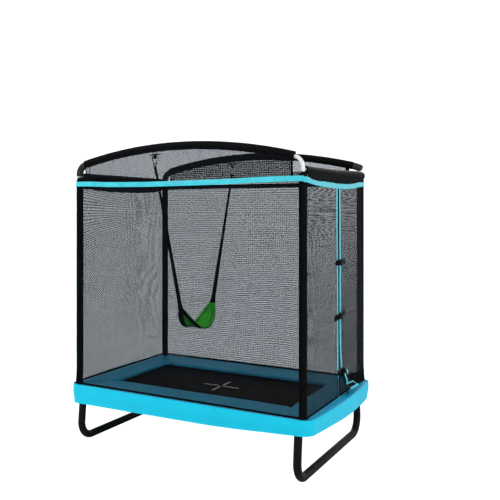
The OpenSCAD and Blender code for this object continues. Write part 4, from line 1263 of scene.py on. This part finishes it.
class TRAMPOLINE_OT_band(bpy.types.Operator):
    """Sew the blue band, the hems and the corner ties onto the netting"""

    bl_idname = "trampoline.band"
    bl_label = "Band and ties"

    def execute(self, context):
        plan = band_plan(BAND_IN + 0.0006)
        around = lengths([p for p, _ in plan] + [plan[0][0]])
        count, rows = len(plan), 6

        def place(s, t):
            """A point of the band: s goes round it and t up it."""
            i = round(s * count) % count
            point, away = plan[i]
            lift = 0.0008 * math.sin(math.pi * t) + wobble((around[i] * 4, t, 2.0), 1.0, 0.0012)
            z = band_foot(point.x, point.y) + BAND_W * t + wobble((around[i] * 6, 0.3, 5.0), 1.0, 0.0008)
            return Vector((point.x, point.y, z)) + away * max(0.0, lift)

        bm = bmesh.new()
        made = surface(bm, count, rows, place, (around[-1], BAND_W))
        bmesh.ops.remove_doubles(bm, verts=made, dist=WELD)
        cloth_map = bm.loops.layers.uv.verify()
        for face in bm.faces:
            for corner in face.loops:
                u, v = corner[cloth_map].uv
                corner[cloth_map].uv = (v, u)
        bmesh.ops.recalc_face_normals(bm, faces=bm.faces)
        thicken(bm, 0.0014)
        band = piece("net_band_webbing", bm, "band", "root", ("net_band",), 60)
        # Faces turned in towards the posts take the dark copy of the blue as painted shade.
        band.data.materials.append(finish("lining"))
        for face in band.data.polygons:
            c = face.center
            away = c - Vector((min(POST_X, max(-POST_X, c.x)), min(POST_Y, max(-POST_Y, c.y)), c.z))
            if face.normal.dot(away) < -0.5 * away.length:
                face.material_index = 1

        sewing = bmesh.new()
        # Rows of pale stitches, partly seams and partly painted glints on the band's ribs; the middle row is
        # wider.
        for share in (0.12, 0.52, 0.88):
            row = []
            for point, away in plan:
                at = point + away * 0.0024
                at.z = band_foot(point.x, point.y) + BAND_W * share
                row.append(at)
            stitches(sewing, row + row[:1], lambda p: (p.x * (abs(p.x) > POST_X + 0.02), p.y, 0), 0.012,
                     0.006,
                     0.0016 if share == 0.52 else 0.0010)
        piece("net_band_stitches_and_painted_glints", sewing, "pale_stitch_and_glint")
        self.hems()
        self.ties()
        return {"FINISHED"}

    def hems(self):
        """Black hems at the netting's feet, and the black cloth between the band and the top rails."""
        hems = bmesh.new()
        narrow = strip_section(0.014, 0.0016, 1, 2)
        for sy in (-1, 1):
            wall = sy * (NET_Y + 0.0024)
            foot = [(-POST_X + 2 * POST_X * k / 60, wall, NET_FOOT + 0.008) for k in range(61)]
            sweep(hems, foot, narrow, side=(0, 0, 1))
        for x, low, high in ((-NET_X, -POST_Y, POST_Y), (NET_X, -POST_Y, -NET_SLIT)):
            wall = x + math.copysign(0.0024, x)
            foot = [(wall, low + (high - low) * k / 30, NET_FOOT + 0.008) for k in range(31)]
            sweep(hems, foot, narrow, side=(0, 0, 1))
        # The hem at the door's back foot widens towards the back corner: partly hem, partly painted shadow of
        # the pad.
        foot = [(NET_X + 0.0024, NET_SLIT + (POST_Y - NET_SLIT) * k / 30, NET_FOOT + 0.012)
                for k in range(31)]
        sweep(hems, foot, strip_section(0.024, 0.0016, 1, 2), side=(0, 0, 1),
              size=lambda t: (0.6 + 0.8 * ease(t, 0.35, 1.0), 1.0))
        for sy in (-1, 1):
            slit = [(NET_X + 0.0024, sy * 0.0115, NET_FOOT + 0.004 + 0.124 * k / 8) for k in range(9)]
            sweep(hems, slit, strip_section(0.012, 0.0016, 1, 2), side=(0, 1, 0))
        patch = [(x, -(NET_Y + 0.0004), z) for x, z in ((-0.852, 1.884), (-0.805, 1.887), (-0.760, 1.891))]
        sweep(hems, patch, strip_section(0.026, 0.0016, 1, 2), side=(0, 0, 1),
              size=lambda t: (0.8 + 0.5 * t, 1.0))
        piece("net_hems", hems, "hem")
        for sign, side in ((-1, "left"), (1, "right")):
            bm = bmesh.new()
            wall = sign * (NET_X + 0.0024)

            def place(s, t, wall=wall, sign=sign):
                """A point of the cloth between the band and the top rail."""
                y = -POST_Y + 0.004 + (2 * POST_Y - 0.008) * s
                low = band_foot(math.copysign(POST_X + BAND_IN, sign), y) + BAND_W - 0.006
                high = NET_END_TOP + 0.004
                return Vector((wall + sign * 0.002 * math.sin(math.pi * t) * noise.noise(Vector((y * 6, t,
                                                                                                 sign))), y,
                               low + (high - low) * t))

            surface(bm, 60, 6, place, (2 * POST_Y, 0.05))
            thicken(bm, 0.0012)
            cloth = piece(f"net_head_cloth_{side}", bm, "hem")

    def ties(self):
        """Straps and elastic loops between the arches and the band's corners."""
        ties = bmesh.new()

        def under(x, sign):
            """A point on the underside of an arch's foam."""
            return arch_point(math.asin(x / ARCH_R), sign, -SLEEVE_R + 0.003)

        front, back = -(NET_Y + 0.0006), NET_Y + 0.0006
        knot = Vector((-0.772, front, 1.903))
        for x in (-0.797, -0.750):
            top = under(x, -1)
            bend = knot.lerp(top, 0.5) + Vector((math.copysign(0.004, x - knot.x), 0, -0.004))
            line = even(rounded([knot + Vector(((x - knot.x) * 0.12, 0, 0)), bend, (x, front, top.z)], 0.02),
                        0.006)
            sweep(ties, line, strip_section(0.0065, 0.0028, 1, 1), side=(1, 0, 0))
        sweep(ties, [knot + Vector((0, 0, 0.006 - 0.022 * k / 4)) for k in range(5)],
              strip_section(0.013, 0.004, 2, 2), side=(1, 0, 0))
        for x, sign, width in ((0.798, -1, 0.0150), (0.753, 1, 0.0280), (-0.818, 1, 0.0130)):
            top, wall = under(min(x, ARCH_END_X - 0.004), sign), back if sign > 0 else front
            foot = BAND_TOP - 0.010
            line = [(x + 0.0015 * math.sin(k / 3), wall, foot + (top.z - foot) * k / 10) for k in range(11)]
            sweep(ties, line, strip_section(width, 0.0018, 1, 2), side=(1, 0, 0))
        loop = [(0.790, 1.986), (0.782, 1.962), (0.7805, 1.940), (0.784, 1.918), (0.791, 1.898)]
        sweep(ties, even(rounded([(x, front - 0.001, z) for x, z in loop], 0.02), 0.005),
              ring_section(0.0016, 8),
              side=(0, 1, 0))
        piece("net_ties_elastic", ties, "strap", "root", ("net_ties",))


# ---------- door ----------

TAPE_FACE = ZIP_LOW.x + NET_THK
EDGING_RUNS = {   # (height, place across) of the webbing on each side of the zip
    -1: [(1.803, -0.036), (1.60, -0.034), (1.30, -0.024), (0.90, -0.021), (0.72, -0.019), (0.598, -0.0175)],
    1: [(1.803, 0.022), (1.60, 0.024), (1.30, 0.031), (0.90, 0.031), (0.72, 0.040), (0.585, 0.062)],
}
TOOTH_PITCH = 0.005
SLIDER_L = 0.026


class TRAMPOLINE_OT_door(bpy.types.Operator):
    """Sew the door's zip, its edging and its flaps"""

    bl_idname = "trampoline.door"
    bl_label = "Door"

    def execute(self, context):
        tape = bmesh.new()
        half = ZIP_HIGH.y
        rows = 60
        surface(tape, 8, rows, lambda s, t: Vector((TAPE_FACE - 0.0002, half - 2 * half * s,
                                                    ZIP_LOW.z + (ZIP_HIGH.z - ZIP_LOW.z) * t)),
                (2 * half, ZIP_HIGH.z - ZIP_LOW.z))
        thicken(tape, 0.0009)
        cloth = piece("door_zip_tape", tape, "tape_black", "root", ("door_zip",))

        teeth = bmesh.new()
        top = EDGING_HIGH.z
        count = int((top - ZIP_LOW.z) / TOOTH_PITCH)
        for k in range(count):
            side = 1 if k % 2 else -1
            block = bmesh.ops.create_cube(teeth, size=1.0, matrix=Matrix.Translation(
                (TAPE_FACE + 0.0009, side * 0.0012, ZIP_LOW.z + 0.004 + k * TOOTH_PITCH))
                @ Matrix.Diagonal((0.0022, 0.0046, 0.0034, 1)))["verts"]
            nose = [v for v in block if v.co.x > TAPE_FACE + 0.0009]
            bmesh.ops.scale(teeth, verts=nose, vec=(1, 0.8, 0.7), space=Matrix.Translation(
                (0, -side * 0.0012, -(ZIP_LOW.z + 0.004 + k * TOOTH_PITCH))))
        piece("door_zip_teeth", teeth, "plastic")

        edging = bmesh.new()
        for side, width in ((-1, 0.019), (1, 0.021)):
            line = even(rounded([(EDGING_LOW.x + 0.0012, y, z) for z, y in EDGING_RUNS[side]], 0.12), 0.014)
            line = [p + Vector((wobble((side, p.z * 5, 3.5), 1.0, 0.0006),
                                wobble((side, p.z * 3, 0.5), 1.0, 0.004), 0))
                    for p in line]
            sweep(edging, line, strip_section(width, 0.0018, 1, 3), side=(0, 1, 0))
        piece("door_edging_webbing", edging, "edging", "root", ("door_edging",))
        self.flaps()
        self.slider()
        return {"FINISHED"}

    def flaps(self):
        """The knotted end of the edging below the zip, and the flap that lies folded on the pad's rim."""
        wall = EDGING_LOW.x
        knot = bmesh.new()
        bmesh.ops.create_icosphere(knot, subdivisions=5, radius=1.0)
        for v in knot.verts:
            creased = 0.5 - abs(noise.noise(v.co * 3.3 + Vector((4, 1, 7))))
            grow = 0.78 + (noise.noise(v.co * 1.7) * 0.30 + creased * 0.34)
            v.co = Vector((wall + 0.0145 + 0.0135 * v.co.x * grow,
                           0.060 + 0.044 * v.co.y * grow - 0.012 * v.co.z,
                           0.573 + 0.034 * v.co.z * grow))
        piece("door_edging_knot", knot, "tape_black", angle=60)

        straps, blue = bmesh.new(), bmesh.new()
        runs = (
            (straps, 0.024,
             [(0.014, 0.050, 0.560), (0.022, 0.066, 0.510), (0.026, 0.084, 0.460), (0.030, 0.098, 0.4150)]),
            (blue, 0.016,
             [(0.024, 0.058, 0.562), (0.028, 0.074, 0.535), (0.028, 0.096, 0.505), (0.024, 0.116, 0.478)]),
            (blue, 0.014, [(0.022, 0.100, 0.582), (0.027, 0.114, 0.566), (0.022, 0.126, 0.548)]),
        )
        for bm, width, places in runs:
            line = even(rounded([(wall + x, y, z) for x, y, z in places], 0.03), 0.006)
            sweep(bm, line, strip_section(width, 0.0018, 1, 2), side=(0, 1, 0.3))

        def place(s, t):
            """A point of the folded flap."""
            fold = 0.0015 * math.sin(9 * s + 3 * t)
            return Vector((wall + 0.007 + 0.046 * t, 0.128 + 0.165 * s - 0.030 * t,
                           0.476 - 0.018 * s - (0.024 - 0.014 * s) * t + fold * (1 - t)))

        flap = bmesh.new()
        surface(flap, 24, 10, place, (0.165, 0.060))
        thicken(flap, -0.0012)
        flap = piece("door_flap", flap, "tape_black", "root", ("door_flaps",), 60)
        rim = Vector((0.0014, 0, 0.0008))
        for across in (0.06, 0.92):
            sweep(blue, [place(k / 30, across) + rim for k in range(31)], strip_section(0.014, 0.0018, 1, 2),
                  side=(0.45, 0, -1))
        sweep(blue, [place(0.97, k / 10) + rim for k in range(11)], strip_section(0.012, 0.0018, 1, 2),
              side=(0, 1, 0))
        piece("door_strap_end", straps, "strap")
        piece("door_flap_trim", blue, "edging")

        # Black hem cloth at the door's back foot, growing towards the back corner: partly hem, partly painted
        # shadow.
        foot = bmesh.new()

        def hem_and_shadow_wedge(s, t):
            """A point of the black cloth at the door's foot, partly hem and partly painted shadow of the pad.
            """
            y, high, low = 0.19 + 0.375 * s, 0.530 - 0.040 * s, max(NET_FOOT + 0.006, 0.508 - 0.19 * s)
            return Vector((NET_X + 0.0030 + 0.0008 * math.sin(8 * s), y, low + (high - low) * t))

        surface(foot, 30, 6, hem_and_shadow_wedge, (0.375, 0.07))
        thicken(foot, 0.0010)
        cloth = piece("door_foot_cloth_and_painted_shadow", foot, "hem")

    def slider(self):
        """The zip's slider with its bridge and its pull."""
        body = bmesh.new()
        x = TAPE_FACE + 0.0024
        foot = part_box("zip_slider")[1].z - SLIDER_L
        path = [(x + 0.0016, 0, foot + SLIDER_L * k / 6) for k in range(7)]
        sweep(body, path, strip_section(0.013, 0.0036, 2, 3), side=(0, 1, 0),
              size=lambda t: (0.72 + 0.28 * math.sin(math.pi * (0.15 + 0.6 * t)), 1.0))
        bridge = rounded([(x + 0.003, 0, foot + 0.003), (x + 0.0075, 0, foot + 0.005),
                          (x + 0.0075, 0, foot + 0.02),
                          (x + 0.003, 0, foot + 0.022)], 0.003, 4)
        sweep(body, bridge, strip_section(0.004, 0.0018, 1, 1), side=(0, 1, 0))
        pull = rounded([(x + 0.0056, -0.003, foot + 0.012), (x + 0.0056, 0.003, foot + 0.012),
                        (x + 0.0062, 0.004, foot - 0.018), (x + 0.0062, -0.004, foot - 0.018)], 0.003, 4,
                        True)
        sweep(body, pull, ring_section(0.0012, 8), side=(1, 0, 0), loop=True)
        piece("zip_slider_moulded", body, "plastic", "slider", ("zip_slider",), 40)
        tag = bmesh.new()
        line = [(x + 0.0058, 0, foot - 0.016 - 0.012 * k / 4) for k in range(5)]
        sweep(tag, line, strip_section(0.008, 0.0016, 2, 2), side=(0, 1, 0))
        piece("zip_pull_cord", tag, "strap", "slider")


class TRAMPOLINE_OT_buckles(bpy.types.Operator):
    """Finish the side-release buckles across the zip"""

    bl_idname = "trampoline.buckles"
    bl_label = "Door buckles"

    def execute(self, context):
        softened("buckle_sockets", 0.0009, "plastic")
        for name in ("high", "low"):
            softened("buckle_plug_" + name, 0.0009, "plastic", "plug_" + name)
        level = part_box("buckle_plug_high")[1].x - 0.006
        wall = NET_X + NET_THK + 0.0003
        reach = {("low", -1): (0.020, 0.074, 0.092), ("high", -1): (0.020, 0.058, 0.068)}
        for name, tilt in (("low", 0.010), ("high", 0.002)):
            z = middle("buckle_plug_" + name).z
            for end, rides in ((-1, "plug_" + name), (1, "root")):
                near, far, edge = reach.get((name, end), (0.034, 0.082, 0.112))
                tab = bmesh.new()
                line = rounded([(level, end * near, z), (wall + 0.0062, end * far, z + end * tilt),
                                (wall + 0.0062, end * (edge + 0.002), z + end * tilt * 1.2)], 0.01, 4)
                sweep(tab, even(line, 0.005), strip_section(0.036, 0.0046, 2, 4), side=(0, 0, 1))
                piece(f"buckle_strap_{name}_{'plug' if end < 0 else 'socket'}", tab, "strap",
                      rides)
        return {"FINISHED"}


# ---------- swing ----------

SEAT_REACH, SEAT_MEET = 0.219, 0.238   # half the cloth's span, and where the webbing's two edges meet
SEAT_W = SEAT_HIGH.x - SEAT_LOW.x
SEAT_TIP_W = 0.054
SEAT_POWER = 2.05
SEAT_FLOOR_Z, SEAT_MEET_Z = 0.787, 0.971
CLOTH_THK = 0.003
WEB_W = 0.042


def seat_z(y):
    """Height of the sling's upper face."""
    return SEAT_FLOOR_Z + (SEAT_MEET_Z - SEAT_FLOOR_Z) * (abs(y) / SEAT_MEET) ** SEAT_POWER


def seat_half(y):
    """Half the sling's width."""
    t = min(1.0, abs(y) / SEAT_REACH)
    return SEAT_TIP_W / 2 + (SEAT_W / 2 - SEAT_TIP_W / 2) * (1 - t ** 3)


def seat_normal(y):
    """The sling's upward normal."""
    slope = (seat_z(y + 0.0005) - seat_z(y - 0.0005)) / 0.001
    return Vector((0, -slope, 1)).normalized()


def seat_point(offset, y, lift=0.0):
    """A point of the sling, offset across it from its middle."""
    cup = 0.006 * (offset / seat_half(y)) ** 2 * max(0.0, 1 - (abs(y) / SEAT_REACH) ** 2)
    return Vector((SWING_X + offset, y, seat_z(y) + cup)) + seat_normal(y) * lift


class TRAMPOLINE_OT_hardware(bpy.types.Operator):
    """Finish the swing's brackets, snap hooks and gates"""

    bl_idname = "trampoline.swing_hardware"
    bl_label = "Swing hardware"

    def execute(self, context):
        softened("swing_brackets", 0.0008, "black_tube")
        softened("swing_hooks", 0.0022, "chrome", "swing", 3, 40)
        softened("hook_gate_front", 0.0010, "chrome", "gate_front")
        softened("hook_gate_back", 0.0010, "chrome", "gate_back")
        return {"FINISHED"}


class TRAMPOLINE_OT_swing(bpy.types.Operator):
    """Sew the sling seat, its border and its straps"""

    bl_idname = "trampoline.swing"
    bl_label = "Swing seat and straps"

    def execute(self, context):
        half = SEAT_REACH
        bm = bmesh.new()
        length = lengths([seat_point(0, half * (k / 40 - 1)) for k in range(81)])[-1]

        def place(s, t):
            """A point of the sling: s goes across it and t along it."""
            y = (2 * t - 1) * half
            return seat_point((2 * s - 1) * seat_half(y), y, -0.0004 + wobble((s * 3, t * 9, 0), 1.0, 0.0008))

        surface(bm, 24, 80, place, (SEAT_W, length))
        thicken(bm, -0.0022)
        seat = piece("swing_seat_sling", bm, "seat", "swing", ("swing_seat",), 60)

        border, channel, sewing = bmesh.new(), bmesh.new(), bmesh.new()
        ys = [(2 * k / 70 - 1) * (half - 0.003) for k in range(71)]
        for side in (-1, 1):
            for strip, inset, width in ((border, 0.0095, 0.019), (channel, 0.0235, 0.009)):
                edge = [seat_point(side * max(0.002, seat_half(y) - inset), y, 0.0008) for y in ys]
                sweep(strip, edge, strip_section(width, 0.0012, 1, 3), side=(1, 0, 0))
            for inset in (0.004, 0.0195, 0.0275):
                row = [seat_point(side * max(0.002, seat_half(y) - inset), y, 0.0017) for y in ys[3:-3]]
                stitches(sewing, row, lambda p: seat_normal(p.y), 0.007, 0.0045, 0.0012)
        for end in (-1, 1):
            y = end * (half - 0.010)
            tip = [seat_point(seat_half(y) * (-0.95 + 1.9 * k / 12), y, 0.0010) for k in range(13)]
            sweep(border, tip, strip_section(0.019, 0.0012, 1, 3), side=(0, 1, 1.5 * end))
        piece("swing_seat_border", border, "border", "swing")
        piece("swing_seat_channel", channel, "stitch_green", "swing")
        piece("swing_seat_stitches", sewing, "stitch_green", "swing")
        self.straps()
        return {"FINISHED"}

    def straps(self):
        """Webbing under both edges of the seat, drawn together into one strap at each end."""
        web = bmesh.new()
        under = -CLOTH_THK - 0.0016
        ys = [(2 * k / 90 - 1) * SEAT_MEET for k in range(91)]
        for side in (-1, 1):
            line = []
            for y in ys:
                inward = ease(abs(y), SEAT_REACH - 0.03, SEAT_MEET)
                line.append(seat_point(side * ((seat_half(y) - 0.018) * (1 - inward) + 0.002 * inward), y,
                                       under))
            sweep(web, line, strip_section(WEB_W, 0.0024, 1, 4), side=(1, 0, 0))
        for end in (-1, 1):
            top = Vector((PIN_X, end * POST_Y, STRAP_BAR_Z))
            foot = seat_point(0, end * SEAT_MEET, under)
            low = seat_point(0, end * (SEAT_MEET - 0.035), under)
            ahead = (top - foot).normalized()
            off = Vector((0, end * -ahead.z, end * ahead.y)) * (STRAP_BAR_R + 0.0018)
            line = even(rounded([low, foot, top + off - ahead * 0.004], 0.03, 8), 0.016)
            sweep(web, line, strip_section(0.038, 0.0026, 1, 4), side=(1, 0, 0),
                  size=lambda t: (1 - 0.60 * t ** 0.9, 1 + 0.4 * t))
            turn = []
            for k in range(15):
                a = TAU * k / 15
                turn.append(top + off.normalized() * (STRAP_BAR_R + 0.0020) * math.cos(a)
                            + ahead * (STRAP_BAR_R + 0.0020) * math.sin(a))
            sweep(web, turn, strip_section(0.0135, 0.0022, 1, 2), side=(1, 0, 0), loop=True)
            back = [top - off - ahead * (0.003 + 0.060 * k / 8) + off * 0.9 * k / 8 for k in range(9)]
            sweep(web, back, strip_section(0.0150, 0.0022, 1, 2), side=(1, 0, 0))
            keeper = top + off * 0.2 - ahead * 0.030
            sweep(web, [keeper + ahead * d for d in (-0.016, -0.008, 0.0, 0.008)],
                  strip_section(0.021, 0.0085, 2, 2), side=(1, 0, 0))
        piece("swing_webbing_sewn", web, "strap", "swing", ("swing_webbing",), 50)


# ---------- stage ----------


class TRAMPOLINE_OT_stage(bpy.types.Operator):
    """Set the camera, the lights, the floor and the pale surroundings"""

    bl_idname = "trampoline.stage"
    bl_label = "Stage"

    def execute(self, context):
        scene = context.scene
        scene.view_settings.view_transform = "Standard"
        self.camera(scene)
        self.world(scene)
        self.lamp("Key", (-2.6, -4.2, 4.6), (0, 0, 0.9), 3.2, 120)
        self.lamp("Fill", (4.6, -1.6, 2.8), (0.3, 0, 0.9), 3.0, 55)
        self.lamp("Rim", (0.5, 4.4, 4.2), (0, 0, 1.2), 3.0, 45)
        self.floor(scene)
        return {"FINISHED"}

    def camera(self, scene):
        """A level camera in front of the right front corner."""
        data = bpy.data.cameras.new("Camera")
        data.sensor_width, data.lens = 36.0, 50.19
        data.shift_x, data.shift_y = 0.1045, -0.0783
        camera = bpy.data.objects.new("Camera", data)
        camera.location = (2.4282, -4.4905, 1.6568)
        camera.rotation_euler = (math.radians(90), 0, math.radians(30.36))
        scene.collection.objects.link(camera)
        scene.camera = camera

    def lamp(self, name, place, target, size, power):
        """A round soft light turned towards its target."""
        data = bpy.data.lights.new(name, "AREA")
        data.shape, data.size, data.energy = "DISK", size, power
        lamp = bpy.data.objects.new(name, data)
        lamp.location = place
        lamp.rotation_euler = (Vector(target) - Vector(place)).to_track_quat("-Z", "Y").to_euler()
        bpy.context.scene.collection.objects.link(lamp)

    def world(self, scene):
        """Pale surroundings, brighter to the camera and in reflections."""
        world = bpy.data.worlds.new("Pale surroundings")
        world.use_nodes = True
        tree = world.node_tree
        tree.nodes.clear()
        rays = tree.nodes.new("ShaderNodeLightPath").outputs
        seen = maths(tree, "MAXIMUM", rays["Is Camera Ray"],
                     maths(tree, "MAXIMUM", rays["Is Glossy Ray"], rays["Is Transmission Ray"]))
        bright = maths(tree, "MULTIPLY", rays["Is Camera Ray"], 0.25)
        strength = maths(tree, "ADD", bright, maths(tree, "MULTIPLY_ADD", seen, 0.38, 0.62))
        cool = mix(tree, rays["Is Camera Ray"], (1, 1, 1, 1), (0.94, 1.01, 1.08, 1))
        glow = add(tree, "ShaderNodeBackground", [("Color", cool), ("Strength", strength)])
        add(tree, "ShaderNodeOutputWorld", [(0, glow.outputs[0])])
        scene.world = world

    def floor(self, scene):
        """A pale floor that is nearly as bright as the surroundings."""
        bm = bmesh.new()
        bmesh.ops.create_circle(bm, cap_ends=True, segments=96, radius=14.0)
        mesh = bpy.data.meshes.new("Floor")
        bm.to_mesh(mesh)
        bm.free()
        floor = bpy.data.objects.new("Floor", mesh)
        floor.location.z = -0.0005
        scene.collection.objects.link(floor)
        material = bpy.data.materials.new("Pale floor")
        material.use_nodes = True
        tree = material.node_tree
        tree.nodes.clear()
        matt = add(tree, "ShaderNodeBsdfDiffuse", [("Color", (0.94, 0.94, 0.94, 1))])
        glow = add(tree, "ShaderNodeEmission", [("Color", (0.92, 1.01, 1.08, 1)), ("Strength", 1.30)])
        rays = tree.nodes.new("ShaderNodeLightPath").outputs
        share = maths(tree, "MULTIPLY", rays["Is Camera Ray"], 0.95)
        blend = add(tree, "ShaderNodeMixShader", [(0, share), (1, matt.outputs[0]), (2, glow.outputs[0])])
        add(tree, "ShaderNodeOutputMaterial", [(0, blend.outputs[0])])
        mesh.materials.append(material)


# ---------- panel and registration ----------

STEPS = (
    TRAMPOLINE_OT_stage,
    TRAMPOLINE_OT_frame,
    TRAMPOLINE_OT_springs,
    TRAMPOLINE_OT_mat,
    TRAMPOLINE_OT_pad,
    TRAMPOLINE_OT_skirt,
    TRAMPOLINE_OT_sleeves,
    TRAMPOLINE_OT_nets,
    TRAMPOLINE_OT_band,
    TRAMPOLINE_OT_door,
    TRAMPOLINE_OT_buckles,
    TRAMPOLINE_OT_hardware,
    TRAMPOLINE_OT_swing,
)
SETTINGS = {
    "tramp_steel": TrampolineSteel,
    "tramp_bed": TrampolineBed,
    "tramp_net": TrampolineNet,
    "tramp_swing": TrampolineSwing,
}


class TRAMPOLINE_PT_panel(bpy.types.Panel):
    """Lists the steps and their settings"""

    bl_label = "Trampoline"
    bl_idname = "TRAMPOLINE_PT_panel"
    bl_space_type = "VIEW_3D"
    bl_region_type = "UI"
    bl_category = "Trampoline"

    def draw(self, context):
        """One button for each step, then the settings."""
        for step in STEPS:
            self.layout.operator(step.bl_idname)
        for name, settings in SETTINGS.items():
            box = self.layout.box()
            for key in settings.__annotations__:
                box.prop(getattr(context.scene, name), key)


def register():
    """Adds the settings, the steps and the panel."""
    for cls in (*SETTINGS.values(), *STEPS, TRAMPOLINE_PT_panel):
        bpy.utils.register_class(cls)
    for name, settings in SETTINGS.items():
        setattr(bpy.types.Scene, name, PointerProperty(type=settings))


def unregister():
    """Takes the settings, the steps and the panel away."""
    for name in SETTINGS:
        delattr(bpy.types.Scene, name)
    for cls in reversed((*SETTINGS.values(), *STEPS, TRAMPOLINE_PT_panel)):
        bpy.utils.unregister_class(cls)


def main():
    """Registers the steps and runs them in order."""
    register()
    for step in STEPS:
        area, verb = step.bl_idname.split(".")
        getattr(getattr(bpy.ops, area), verb)()


if __name__ == "__main__":
    main()
